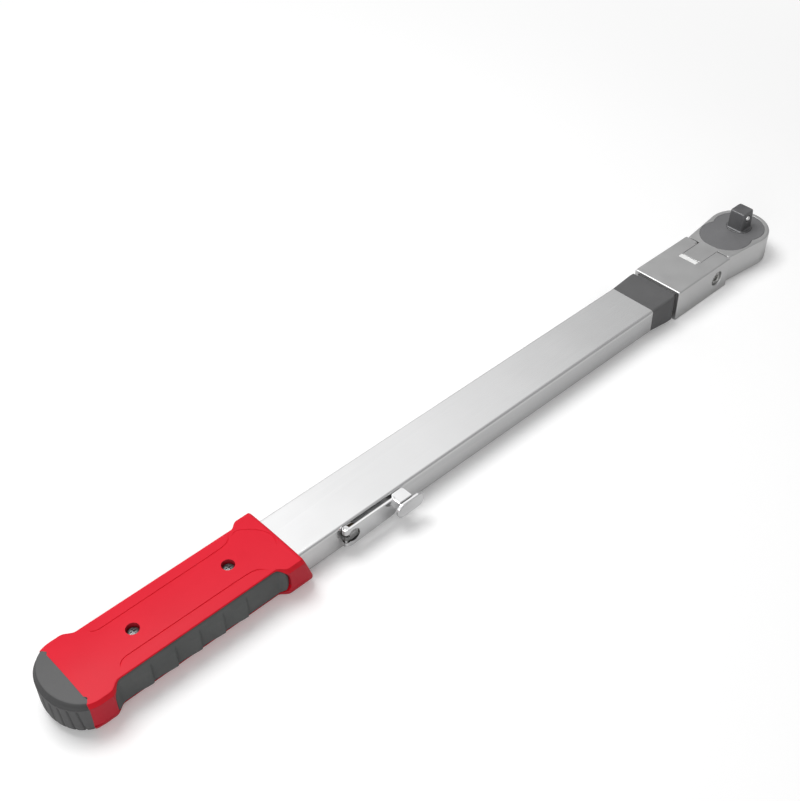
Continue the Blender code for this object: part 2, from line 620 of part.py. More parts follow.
def make_tube():
    """Flat steel tube with the scale opening below, the crank's bore and the screw holes."""
    outer = rounded((-TUBE_HALF, TUBE_BOTTOM), (TUBE_HALF, TUBE_TOP), TUBE_CORNER)
    inner = rounded((-TUBE_HALF + TUBE_WALL, TUBE_BOTTOM + TUBE_WALL),
                    (TUBE_HALF - TUBE_WALL, TUBE_TOP - TUBE_WALL), TUBE_CORNER - TUBE_WALL + 0.4 * MM, 2)
    tube = plate("frame_tube", [outer, inner], TUBE_REAR, TUBE_FRONT, "x")
    opening = rounded((WINDOW_X[0] - GAP, -WINDOW_HALF - GAP), (WINDOW_X[1] + GAP, WINDOW_HALF + GAP), 2 * MM)
    below = TUBE_BOTTOM - MM
    cut(tube, rod("bush_hole", (CRANK_X, -TUBE_HALF - MM, CRANK_Z), (CRANK_X, -TUBE_HALF + 4 * MM, CRANK_Z),
                  BUSH_RADIUS + GAP, 24),
        plate("window_hole", [opening], below, TUBE_BOTTOM + 3 * MM))
    for i, x in enumerate(GRIP_SCREW_XS):
        cut(tube, rod(f"grip_screw_hole_{i}", (x, 0, TUBE_TOP + MM), (x, 0, below), 2.6 * MM, 16))
    for i, x in enumerate(TUBE_SCREW_XS):
        cut(tube, rod(f"tube_screw_hole_{i}", (x, 0, TUBE_MID), (x, 0, below), 3.3 * MM, 16))
        make_tube_screw(i + 1, x)
    keep(tube, TUBE_STEEL)


# Beams and trip inside the tube

BLOCK_X = (-316.0 * MM, -292.0 * MM)
TRIP_PIN = (-323.0 * MM, 14.2 * MM)
TRIP_HALF = 4.0 * MM
FULCRUM_X = -304.0 * MM


def make_beams():
    """Load beam and sensing beam, side by side, with the rivets and screws that hold them."""
    beam = level_box("main_beam", (BEAM_REAR, BEAM_FRONT), BEAM_HALF, BEAM_TALL)
    bevel(beam, 0.6 * MM, 1)
    for i, x in enumerate(RIVET_XS + (FULCRUM_X,)):
        cut(beam, rod(f"beam_bore_{i}", (x, 0, TUBE_MID - 8 * MM), (x, 0, TUBE_MID + 8 * MM), 2.3 * MM, 16))
    keep(beam, SPRING_STEEL)
    for i, x in enumerate(RIVET_XS):
        keep(rod(f"beam_rivet_{i + 1}", (x, 0, SHANK_BOTTOM + 0.1 * MM), (x, 0, SHANK_TOP - MM),
                 2.0 * MM, 16), DARK_STEEL)
    tall = SENSOR_TALL / 2
    sensor = box("sensing_beam", (SENSOR_REAR, BEAM_FRONT), SENSOR_Y, (TUBE_MID - tall, TUBE_MID + tall))
    thin_end, cut_away = (SENSOR_REAR - MM, SENSOR_REAR + 9 * MM), (SENSOR_Y[0] - MM, SENSOR_Y[0] + 1.1 * MM)
    cut(sensor, box("sensor_end", thin_end, cut_away, (TUBE_MID - 2 * tall, TUBE_MID + 2 * tall)))
    x = SENSOR_SCREW_X
    for i, z in enumerate(SENSOR_SCREW_ZS):
        cut(sensor, rod(f"sensor_bore_{i}", (x, 7 * MM, z), (x, 12 * MM, z), 1.4 * MM, 12))
        keep(rod(f"sensing_screw_{i + 1}", (x, 5.8 * MM, z), (x, 14.6 * MM, z), 1.1 * MM, 12), DARK_STEEL)
    keep(sensor, SPRING_STEEL)


def make_trip():
    """Block that carries the load beam's end, with the sprung trip lever on its pin."""
    block = level_box("fulcrum_block", BLOCK_X, SPIGOT_HALF, SPIGOT_TALL)
    ear_low = TUBE_MID - SPIGOT_TALL / 2
    ear_high = TUBE_MID + SPIGOT_TALL / 2
    ear_x = (TRIP_PIN[0] - 4 * MM, BLOCK_X[0] + MM)
    ear_y = (11.8 * MM, SPIGOT_HALF)
    join(block, box("ear_low", ear_x, ear_y, (ear_low, TUBE_MID - TRIP_HALF - GAP)),
         box("ear_high", ear_x, ear_y, (TUBE_MID + TRIP_HALF + GAP, ear_high)))
    through = (BLOCK_X[0] - MM, BLOCK_X[1] + MM)
    cut(block, level_box("beam_window", through, BEAM_HALF + GAP, BEAM_TALL + 0.8 * MM),
        box("sensor_window", through, (SENSOR_Y[0] - GAP, SENSOR_Y[1] + GAP),
            (TUBE_MID - SENSOR_TALL / 2 - GAP, TUBE_MID + SENSOR_TALL / 2 + GAP)),
        rod("fulcrum_bore", (FULCRUM_X, 0, ear_low - MM), (FULCRUM_X, 0, ear_high + MM), 2.3 * MM, 16),
        rod("trip_bore", (*TRIP_PIN, ear_low - MM), (*TRIP_PIN, ear_high + MM), 1.8 * MM, 16))
    keep(block, DARK_STEEL)
    px, py = TRIP_PIN
    pin_low, pin_high = ear_low + 0.1 * MM, ear_high - 0.1 * MM
    keep(rod("fulcrum_pin", (FULCRUM_X, 0, pin_low), (FULCRUM_X, 0, pin_high), 2.0 * MM, 16), BRIGHT_STEEL)
    keep(rod("trip_pin", (px, py, pin_low), (px, py, pin_high), 1.5 * MM, 16), BRIGHT_STEEL)
    outline = arc((px, py), 2.4 * MM, -60, 240, 14)
    outline += [(px - 1.9 * MM, -9 * MM), (px - 1.2 * MM, -12 * MM), (px + 1.0 * MM, -12 * MM),
                (px + 1.2 * MM, -9 * MM)]
    pin_hole = circle((px, py), 1.8 * MM, 16)
    trip = plate("trip_lever", [outline, pin_hole], TUBE_MID - TRIP_HALF, TUBE_MID + TRIP_HALF)
    set_origin(keep(trip, BRIGHT_STEEL), (px, py, TUBE_MID))
    wire_radius = 0.3 * MM
    spring_y = -9.0 * MM
    keep(wire("trip_spring", coil_points((px + 1.2 * MM + GAP + wire_radius, spring_y, TUBE_MID),
                                         (BLOCK_X[0] - GAP - wire_radius, spring_y, TUBE_MID), 2.2 * MM, 4),
              wire_radius), SPRING_STEEL)


# Setting gear and scale

PITCH_RADIUS = MODULE * PINION_TEETH / 2
RACK_PITCH_Z = CRANK_Z - PITCH_RADIUS
RACK_X = (-442.0 * MM, -352.0 * MM)
RACK_HALF = 5.5 * MM
RACK_FOOT = TUBE_BOTTOM + 3.0 * MM
NEAR_BUSH_Y = (-TUBE_HALF - 0.15 * MM, -15.0 * MM)
FAR_BUSH_Y = (12.2 * MM, 16.95 * MM)
SHAFT_RADIUS = 3.1 * MM
TONGUE_TALL = 2.8 * MM


def pinion_outline():
    """Involute teeth with clearance for the rack; one tooth points straight down at rest."""
    base = PITCH_RADIUS * math.cos(PRESSURE)
    tip, root = PITCH_RADIUS + ADDENDUM, PITCH_RADIUS - DEDENDUM
    half_at_pitch = (math.pi * MODULE / 2 - BACKLASH) / 2 / PITCH_RADIUS
    involute_at_pitch = math.tan(PRESSURE) - PRESSURE
    flank = []
    steps = 4
    for i in range(steps + 1):
        radius = base + (tip - base) * i / steps
        angle = math.acos(base / radius)
        flank.append((radius, half_at_pitch + involute_at_pitch - (math.tan(angle) - angle)))
    flank.insert(0, (root, flank[0][1]))
    points = []
    for tooth in range(PINION_TEETH):
        middle = -math.pi / 2 + 2 * math.pi * tooth / PINION_TEETH
        side = [(radius, middle - angle) for radius, angle in flank]
        side += [(radius, middle + angle) for radius, angle in reversed(flank)]
        points += [(CRANK_X + radius * math.cos(a), CRANK_Z + radius * math.sin(a)) for radius, a in side]
    return points


def rack_outline():
    """Rack with straight-sided teeth under the pinion and a plain bar in front of them."""
    pitch = math.pi * MODULE
    slope = math.tan(PRESSURE)
    half = (pitch / 2 - BACKLASH) / 2
    top, bottom = RACK_PITCH_Z + ADDENDUM, RACK_PITCH_Z - DEDENDUM
    points = [(RACK_X[0], RACK_FOOT), (RACK_X[1], RACK_FOOT), (RACK_X[1], bottom)]
    for tooth in range(6, -6, -1):
        middle = CRANK_X + (tooth - 0.5) * pitch
        points += [(middle + half + slope * DEDENDUM, bottom), (middle + half - slope * ADDENDUM, top),
                   (middle - half + slope * ADDENDUM, top), (middle - half - slope * DEDENDUM, bottom)]
    return points + [(RACK_X[0], bottom)]


def tongue_outline():
    """Plan of the shaft's flattened end, round about the hinge pin."""
    inner = -TUBE_HALF - 0.4 * MM
    right = CRANK_X + 3.6 * MM
    end = [(right - MM, ARM_OUTER), (right, ARM_OUTER + MM), (right, inner - 0.6 * MM), (right - MM, inner)]
    return arc((PIN_X, PIN_Y), KNUCKLE_RADIUS, 90, 270, 12) + end


def make_setting_gear():
    """Crank shaft with its pinion, two bushes, and the rack slider with the scale strip."""
    face = 4.5 * MM
    shaft = rod("pinion_shaft", (CRANK_X, -TUBE_HALF - 1.2 * MM, CRANK_Z),
                (CRANK_X, FAR_BUSH_Y[1] - 0.6 * MM, CRANK_Z), SHAFT_RADIUS, 20)
    join(shaft,
         plate("pinion", [pinion_outline()], -face, face, "y"),
         plate("shaft_tongue", [tongue_outline()], CRANK_Z - TONGUE_TALL / 2, CRANK_Z + TONGUE_TALL / 2))
    low, high = CRANK_Z - 4 * MM, CRANK_Z + 4 * MM
    cut(shaft, rod("tongue_bore", (PIN_X, PIN_Y, low), (PIN_X, PIN_Y, high), 1.5 * MM, 16))
    keep(shaft, DARK_STEEL)
    x, z, bore = CRANK_X, CRANK_Z, SHAFT_RADIUS + GAP
    for word, (start, end) in (("near", NEAR_BUSH_Y), ("far", FAR_BUSH_Y)):
        bush = rod(f"shaft_bush_{word}", (x, start, z), (x, end, z), BUSH_RADIUS, 24)
        cut(bush, rod(f"bush_bore_{word}", (x, start - MM, z), (x, end + MM, z), bore, 20))
        keep(bush, BRONZE)
    rack = plate("rack_slider", [rack_outline()], -RACK_HALF, RACK_HALF, "y")
    stop_x = (RACK_X[1] - 8 * MM, RACK_X[1])
    join(rack, box("setting_stop", stop_x, (-9 * MM, 9 * MM), (RACK_FOOT, TUBE_MID + 5.5 * MM)))
    set_origin(keep(rack, SPRING_STEEL), (CRANK_X, 0, RACK_PITCH_Z))
    strip_z = (TUBE_BOTTOM + 2.3 * MM, TUBE_BOTTOM + 2.7 * MM)
    strip_x = (WINDOW_X[0] - 11 * MM, WINDOW_X[1] + 11 * MM)
    strip = box("scale_strip", strip_x, (-RACK_HALF, RACK_HALF), strip_z)
    set_origin(keep(strip, SCALE_WHITE), (CRANK_X, 0, RACK_PITCH_Z))


def make_window():
    """Black bezel and clear lens over the scale, on the underside of the tube."""
    border = 2.6 * MM
    flange = rounded((WINDOW_X[0] - border, -WINDOW_HALF - border),
                     (WINDOW_X[1] + border, WINDOW_HALF + border), 3 * MM)
    flange_top = TUBE_BOTTOM - 0.1 * MM
    bezel = bevel(plate("window_bezel", [flange], TUBE_BOTTOM - 1.0 * MM, flange_top), 0.35 * MM, 1)
    neck = [rounded((WINDOW_X[0], -WINDOW_HALF), (WINDOW_X[1], WINDOW_HALF), 1.8 * MM)]
    join(bezel, plate("bezel_neck", neck, flange_top - 0.4 * MM, TUBE_BOTTOM + 1.7 * MM))
    lens_x = (WINDOW_X[0] + 1.2 * MM, WINDOW_X[1] - 1.2 * MM)
    lens_half = WINDOW_HALF - 1.2 * MM
    seat = TUBE_BOTTOM + 0.2 * MM
    rim = 1.3 * MM
    view = rounded((lens_x[0] + rim, -lens_half + rim), (lens_x[1] - rim, lens_half - rim), 1.2 * MM)
    cut(bezel, box("lens_seat", (lens_x[0] - GAP, lens_x[1] + GAP), (-lens_half - GAP, lens_half + GAP),
                   (seat, TUBE_BOTTOM + 3 * MM)),
        plate("view_hole", [view], TUBE_BOTTOM - 3 * MM, TUBE_BOTTOM + 3 * MM))
    keep(bezel, BLACK_PLASTIC)
    keep(box("window_lens", lens_x, (-lens_half, lens_half), (seat + GAP, seat + GAP + MM)), CLEAR)


# Folding crank

ARM_TOP = DECK - 2.2 * MM
ARM_LOW = DECK - 17.5 * MM
ARM_LOW_FRONT = DECK - 15.9 * MM
BLOCK_FACE_X = (-387.9 * MM, -376.4 * MM)
BLOCK_Z = (DECK - 9.8 * MM, DECK - 2.4 * MM)
KNUCKLE_NOTCH = 3.4 * MM
FINGER_X = (-390.8 * MM, -368.8 * MM)
FINGER_Z = (DECK - 13.9 * MM, DECK - 3.2 * MM)
STUD_X = -381.6 * MM
STUD_Z = DECK - 6.6 * MM
FINGER_Y = (-31.3 * MM, -29.2 * MM)


def make_crank():
    """Pressed arm with two rolled knuckles and a block, the hinge pin and the finger plate."""
    end_x = BLOCK_FACE_X[0] + 2 * MM
    outline = [(PIN_X, ARM_TOP), (PIN_X, ARM_LOW + 0.9 * MM)]
    outline += arc((PIN_X + 5 * MM, ARM_LOW + 5 * MM), 5 * MM, 225, 270, 5)
    outline += arc((end_x - 3 * MM, ARM_LOW_FRONT + 3 * MM), 3 * MM, 270, 360, 6) + [(end_x, ARM_TOP)]
    arm = plate("crank_lever", [outline], ARM_OUTER, ARM_OUTER + ARM_THICK, "y")
    bevel(arm, 0.3 * MM, 1)
    low_knuckle = ARM_LOW + 0.9 * MM
    notch = (CRANK_Z - KNUCKLE_NOTCH, CRANK_Z + KNUCKLE_NOTCH)
    outside, inside = FINGER_Y[1] + GAP, -TUBE_HALF - 0.5 * MM
    rear, front = BLOCK_FACE_X
    plan = [(rear, outside), (front, outside), (front, inside - 1.6 * MM), (front - 1.2 * MM, inside),
            (front - 3.6 * MM, inside), (rear + 1.6 * MM, ARM_OUTER), (rear, ARM_OUTER - 1.2 * MM)]
    block = bevel(plate("crank_block", [plan], *BLOCK_Z), 0.5 * MM, 2)
    knuckles = rod("knuckles", (PIN_X, PIN_Y, low_knuckle), (PIN_X, PIN_Y, ARM_TOP), KNUCKLE_RADIUS, 16)
    join(arm, knuckles, block)
    window = circle((CRANK_X, CRANK_Z + 0.4 * MM), 4.8 * MM, 24)
    cut(arm,
        rod("pin_bore", (PIN_X, PIN_Y, REST), (PIN_X, PIN_Y, DECK), 1.5 * MM, 16),
        box("tongue_notch", (PIN_X - 4 * MM, PIN_X + 5 * MM), (ARM_OUTER - MM, -15 * MM), notch),
        plate("arm_window", [window], ARM_OUTER - MM, ARM_OUTER + ARM_THICK + MM, "y"),
        rod("stud_bore", (STUD_X, FINGER_Y[1] - MM, STUD_Z), (STUD_X, -25 * MM, STUD_Z), 1.8 * MM, 16))
    keep(arm, BRIGHT_STEEL)
    pin = keep(rod("crank_hinge_pin", (PIN_X, PIN_Y, low_knuckle - 0.3 * MM),
                   (PIN_X, PIN_Y, ARM_TOP + 0.2 * MM), 1.2 * MM, 16), BRIGHT_STEEL)
    radius = (FINGER_Z[1] - FINGER_Z[0]) / 2 - 0.4 * MM
    plan = rounded((FINGER_X[0], FINGER_Z[0]), (FINGER_X[1], FINGER_Z[1]), radius, 6)
    finger = bevel(plate("finger_plate", [plan], FINGER_Y[0], FINGER_Y[1], "y"), 0.5 * MM, 2)
    stud_start, stud_end = FINGER_Y[0] + MM, -25.5 * MM
    join(finger, rod("finger_stud", (STUD_X, stud_start, STUD_Z), (STUD_X, stud_end, STUD_Z), 1.5 * MM, 16))
    keep(finger, BRIGHT_STEEL)
    return arm, pin, finger


# Grip

PARTING = DECK - 16.6 * MM
GRIP_LOW_RADIUS = 10.5 * MM
CROWN = 2.7
RIM_IN = 1.1 * MM
RIM_DROP = 3.4 * MM
PAD_SEAT = 20.6 * MM
PAD_X = (-590.5 * MM, -471.0 * MM)
PAD_TOP = DECK + 2.0 * MM
RIDGE_X = -566.3 * MM
RIDGE_PITCH = 16.3 * MM
RIDGES = 5
RIDGE_RISE = 1.3 * MM
LEAN = 0.30
FLUTE_PITCH = 13.0
FLUTE_LEAN = 1.5


def smooth_step(value):
    """Ease from 0 to 1."""
    value = min(max(value, 0.0), 1.0)
    return value * value * (3 - 2 * value)


def grip_half(x):
    """Half width along the grip: a bump at each end, a narrower waist, and an elliptical rear end."""
    rear = smooth_step((x + 592.0 * MM) / (8.0 * MM))
    front = smooth_step((x + 477.5 * MM) / (7.0 * MM))
    half = GRIP_BUMP_HALF - (GRIP_BUMP_HALF - GRIP_WAIST_HALF) * (rear - front)
    past = max(GRIP_ROUND_X - x, 0.0) / (GRIP_ROUND_X - GRIP_END)
    return half * math.sqrt(1 - past * past)


def crown(y):
    """Level of the domed top, which falls off with the square of the distance from the middle."""
    return GRIP_TOP - CROWN * y * y


def section(half, bottom=REST, low_radius=GRIP_LOW_RADIUS, steps=5):
    """Ring of (y, z) points: domed top, narrow slanted rim, upright side and round lower corner."""
    edge = half - RIM_IN
    top = [(edge * share, crown(edge * share)) for share in (1.0, 0.67, 0.33, 0.0, -0.33, -0.67, -1.0)]
    rim = crown(edge) - RIM_DROP
    left = arc((-half + low_radius, bottom + low_radius), low_radius, 180, 270, steps)
    right = arc((half - low_radius, bottom + low_radius), low_radius, 270, 360, steps)
    return top + [(-half, rim)] + left + right + [(half, rim)]


def grip_body(name):
    """Whole outer form of the grip, with its front end leaning forward towards the bottom."""
    waist = (-592.0, -590.0, -588.0, -586.0, -584.0, -530.0, -477.5, -475.8, -474.0, -472.2, -470.5)
    lean_x = waist[-1] * MM
    xs = [GRIP_REAR, -601.0 * MM, GRIP_ROUND_X] + [x * MM for x in waist] + [-466.0 * MM, GRIP_FRONT]
    rings = []
    for x in xs:
        share = smooth_step((x - lean_x) / (GRIP_FRONT - lean_x))
        rings.append([(x + share * LEAN * (GRIP_TOP - z), y, z) for y, z in section(grip_half(x))])
    return loft(name, rings)


def pad_prism(name, side, gap):
    """Side outline of a soft pad, round at both ends, as a block that reaches outward from its seat."""
    low_z = PARTING - 0.5 * MM if gap == 0 else PARTING + GAP
    rear, front, high_z = PAD_X[0] + gap, PAD_X[1] - gap, PAD_TOP - gap
    outline = []
    for x, z, radius, turn in ((front, high_z, 9.5, 0), (rear, high_z, 8.0, 90),
                               (rear, low_z, 4.0, 180), (front, low_z, 7.5, 270)):
        radius = radius * MM - gap
        centre_x = x - radius if x == front else x + radius
        centre_z = z - radius if z == high_z else z + radius
        outline += arc((centre_x, centre_z), radius, turn, turn + 90, 6)
    seat = side * (PAD_SEAT + gap)
    outside = side * 40 * MM
    return plate(name, [outline], min(seat, outside), max(seat, outside), "y")


def make_pad(word, side):
    """Soft side pad with finger ridges, each swelling towards the front and then dropping short."""
    rises = [(PAD_X[0] - MM, 0.0), (-586.0 * MM, 0.0), (RIDGE_X - 14.5 * MM, 0.0)]
    for i in range(RIDGES):
        peak = RIDGE_X + i * RIDGE_PITCH
        rises += [(peak - 10 * MM, 0.25), (peak - 6 * MM, 0.65), (peak - 2 * MM, 0.95),
                  (peak, 1.0), (peak + 1.2 * MM, 0.1), (peak + 2.2 * MM, 0.0)]
    rises += [(-486.0 * MM, 0.0), (-477.5 * MM, 0.0), (-474.0 * MM, 0.0), (PAD_X[1] + MM, 0.0)]
    rings = []
    for x, rise in rises:
        half = grip_half(x) + 0.2 * MM + rise * RIDGE_RISE
        rings.append([(x, y, z) for y, z in section(half, steps=4)])
    pad = loft(f"grip_pad_{word}", rings)
    boolean(pad, "INTERSECT", [pad_prism(f"pad_outline_{word}", side, GAP)])
    keep(pad, SOFT_GREY)


def groove(name, side):
    """Fine line along the top of the grip, turned outward at both ends."""
    points = [(-579.2, 15.4), (-577.2, 13.5), (-574.0, 12.6), (-488.8, 12.8), (-485.2, 13.9),
              (-482.6, 16.2), (-480.4, 19.0)]
    return wire(name, [(x * MM, side * y * MM, crown(y * MM)) for x, y in points], 0.42 * MM)


def make_grip():
    """Upper and lower shell, two pads, two screws with square nuts, and the end cap."""
    upper = cut(grip_body("grip_shell_upper"),
                box("below_parting", (-0.7, -0.4), (-0.1, 0.1), (REST - MM, PARTING + 0.15 * MM)))
    lower = cut(grip_body("grip_shell_lower"),
                box("above_parting", (-0.7, -0.4), (-0.1, 0.1), (PARTING - 0.15 * MM, GRIP_TOP + MM)))
    room_half, room_top, room_bottom = TUBE_HALF + GAP, TUBE_TOP + GAP, TUBE_BOTTOM - GAP
    for word, shell in (("upper", upper), ("lower", lower)):
        cut(shell,
            box(f"tube_room_{word}", (-599.0 * MM, -440.0 * MM), (-room_half, room_half),
                (room_bottom, room_top)),
            level_box(f"cap_room_{word}", (GRIP_REAR - MM, -598 * MM), 12.3 * MM, 10.6 * MM))
    for side, word in ((-1, "near"), (1, "far")):
        cut(upper, pad_prism(f"pad_pocket_{word}", side, 0), groove(f"top_groove_{word}", side))
        make_pad(word, side)
    seat_z = DECK - 0.6 * MM
    for i, x in enumerate(GRIP_SCREW_XS):
        cut(upper, rod(f"screw_seat_{i}", (x, 0, GRIP_TOP + MM), (x, 0, seat_z), 4.1 * MM, 20),
            rod(f"screw_way_{i}", (x, 0, GRIP_TOP), (x, 0, TUBE_TOP), 2.1 * MM, 14))
        nut_half = 3.5 * MM
        seat_half = nut_half + GAP
        cut(lower, box(f"nut_seat_{i}", (x - seat_half, x + seat_half), (-seat_half, seat_half),
                       (room_bottom - 2.8 * MM, room_bottom + MM)))
        make_grip_screw(i + 1, x, seat_z + GAP, room_bottom - 2.2 * MM)
        nut = box(f"grip_nut_{i + 1}", (x - nut_half, x + nut_half), (-nut_half, nut_half),
                  (room_bottom - 2.5 * MM, room_bottom - 0.1 * MM))
        cut(nut, rod(f"nut_thread_{i}", (x, 0, REST), (x, 0, TUBE_BOTTOM), 1.85 * MM, 16))
        keep(nut, SPRING_STEEL)
    keep(upper, RED_SHELL, 25)
    keep(lower, RED_SHELL, 25)


def make_grip_screw(number, x, seat, tip):
    """Pan-head screw with a cross recess."""
    head_high = seat + 2.0 * MM
    screw = rod(f"grip_screw_{number}", (x, 0, seat), (x, 0, head_high), 3.5 * MM, 20)
    bevel(screw, 0.6 * MM, 1)
    join(screw, rod(f"grip_screw_stem_{number}", (x, 0, seat + MM), (x, 0, tip), 1.6 * MM, 16))
    for turn in (0, 1):
        long, short = 2.0 * MM, 0.45 * MM
        span_x, span_y = (long, short) if turn else (short, long)
        cut(screw, box(f"cross_{number}_{turn}", (x - span_x, x + span_x), (-span_y, span_y),
                       (head_high - 1.1 * MM, head_high + MM)))
    keep(screw, DARK_STEEL)


def cap_ring(front, inset, level):
    """Half ellipse behind the cap's front plane, closed by a chord; level gives the height from y."""
    half = GRIP_BUMP_HALF - inset
    reach = GRIP_ROUND_X - GRIP_END - 0.62 * inset
    start = math.asin(min((GRIP_ROUND_X - front) / reach, 1.0))
    steps = 16
    points = []
    for i in range(steps + 1):
        angle = start + (math.pi - 2 * start) * i / steps
        points.append((GRIP_ROUND_X - reach * math.sin(angle), half * math.cos(angle)))
    chord = half * math.cos(start)
    points += [(front, -chord * share) for share in (0.6, 0.2, -0.2, -0.6)]
    return [(x, y, level(y)) for x, y in points]


def cap_edge(angle):
    """Point on the cap's widest outline, half a flute's depth outside it, at an angle in degrees."""
    out = 0.5 * MM
    turn = math.radians(angle)
    x = GRIP_ROUND_X - (GRIP_ROUND_X - GRIP_END + out) * math.sin(turn)
    return x, (GRIP_BUMP_HALF + out) * math.cos(turn)


def make_cap():
    """Soft end cap, oval in plan, with flutes that lean outward round its end, and the tube's plug."""
    front = GRIP_REAR - GAP
    rings = [cap_ring(front, inset, crown) for inset in (8.0 * MM, 4.0 * MM, RIM_IN)]
    rings.append(cap_ring(front, 0.0, lambda y: crown(y) - RIM_DROP))
    steps = 5
    for i in range(steps + 1):
        angle = math.pi / 2 * i / steps
        z = REST + GRIP_LOW_RADIUS * (1 - math.sin(angle))
        rings.append(cap_ring(front, GRIP_LOW_RADIUS * (1 - math.cos(angle)), lambda y, z=z: z))
    cap = loft("end_cap", rings)
    join(cap, level_box("cap_spigot", (front - 3 * MM, -600.4 * MM), 12.0 * MM, 10.0 * MM))
    for i in range(-4, 5):
        top = cap_edge(90 + i * FLUTE_PITCH)
        bottom = cap_edge(90 + i * (FLUTE_PITCH + FLUTE_LEAN))
        cut(cap, rod(f"flute_{i + 4}", (*bottom, REST + 2 * MM), (*top, DECK - 2.4 * MM), 1.0 * MM, 6))
    keep(cap, SOFT_GREY)
    plug = level_box("tube_plug", (TUBE_REAR + 0.2 * MM, TUBE_REAR + 9 * MM), TUBE_HALF - TUBE_WALL - GAP,
                     TUBE_HEIGHT - 2 * TUBE_WALL - 2 * GAP)
    keep(bevel(plug, 0.8 * MM, 1), BLACK_PLASTIC)


make_ratchet_head()
make_cover()
make_drive()
make_pawl()
make_reversing_lever()
make_yoke()
make_boot()
make_tube()
make_beams()
make_trip()
make_setting_gear()
make_window()
CRANK_PIECES = make_crank()
make_grip()
make_cap()

hold_on("crank_fold", (PIN_X, PIN_Y, CRANK_Z), *CRANK_PIECES)
hold_on("crank_spin", (CRANK_X, 0, CRANK_Z), bpy.data.objects["pinion_shaft"])
bpy.context.view_layer.update()
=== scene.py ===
"""Split beam torque wrench: every surface and finish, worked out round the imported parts.

Metres, +Z up, +X from the grip to the head, origin at the end of the drive square.
"""
import math

import bmesh
import bpy
import numpy as np
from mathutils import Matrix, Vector


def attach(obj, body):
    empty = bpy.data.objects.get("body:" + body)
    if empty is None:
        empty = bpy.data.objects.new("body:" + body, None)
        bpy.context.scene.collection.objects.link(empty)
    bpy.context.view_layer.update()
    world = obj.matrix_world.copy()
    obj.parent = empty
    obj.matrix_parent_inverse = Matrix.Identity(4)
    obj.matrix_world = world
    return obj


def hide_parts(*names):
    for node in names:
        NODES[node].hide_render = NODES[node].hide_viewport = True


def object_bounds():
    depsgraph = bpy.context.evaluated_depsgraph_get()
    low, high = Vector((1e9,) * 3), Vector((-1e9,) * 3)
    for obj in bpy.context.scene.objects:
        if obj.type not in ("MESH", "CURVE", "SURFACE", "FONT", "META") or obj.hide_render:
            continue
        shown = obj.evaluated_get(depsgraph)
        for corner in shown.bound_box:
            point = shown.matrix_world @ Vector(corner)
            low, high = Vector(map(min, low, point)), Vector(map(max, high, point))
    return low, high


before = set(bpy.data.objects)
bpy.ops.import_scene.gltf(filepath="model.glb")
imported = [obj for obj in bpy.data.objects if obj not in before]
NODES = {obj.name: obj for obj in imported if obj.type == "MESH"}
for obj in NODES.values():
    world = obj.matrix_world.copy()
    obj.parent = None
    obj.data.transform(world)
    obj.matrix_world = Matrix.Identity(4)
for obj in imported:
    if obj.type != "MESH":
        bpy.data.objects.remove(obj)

MM = 0.001
cad_box = [list(corner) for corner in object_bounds()]

# Camera
# It stands over the grip's end, a little above half a right angle, and looks along to the head.

eye = bpy.data.cameras.new("camera")
eye.lens = 55.75
eye.sensor_width = 36.0
eye.sensor_fit = "HORIZONTAL"
camera = bpy.data.objects.new("camera", eye)
camera.location = (-0.732874, -0.409665, 0.536595)
camera.rotation_euler = [math.radians(angle) for angle in (47.55652, 0.81938, -43.12441)]
bpy.context.scene.collection.objects.link(camera)
bpy.context.scene.camera = camera

# Floor and light
# The wrench lies on a pale floor under one broad soft panel. Metal sees a bright side and a greyer
# side of the room, which is what fades its top from white at the grip to grey at the head.

FLOOR_Z = cad_box[0][2] - 0.02 * MM
FLOOR_HALF = 6.0


def node_of(tree, kind, **settings):
    """New shader node with its settings and its unlinked input values."""
    made = tree.nodes.new(kind)
    for name, value in settings.items():
        if name.startswith("in_"):
            key = name[3:]
            made.inputs[int(key) if key.isdigit() else key.replace("_", " ")].default_value = value
        else:
            setattr(made, name, value)
    return made


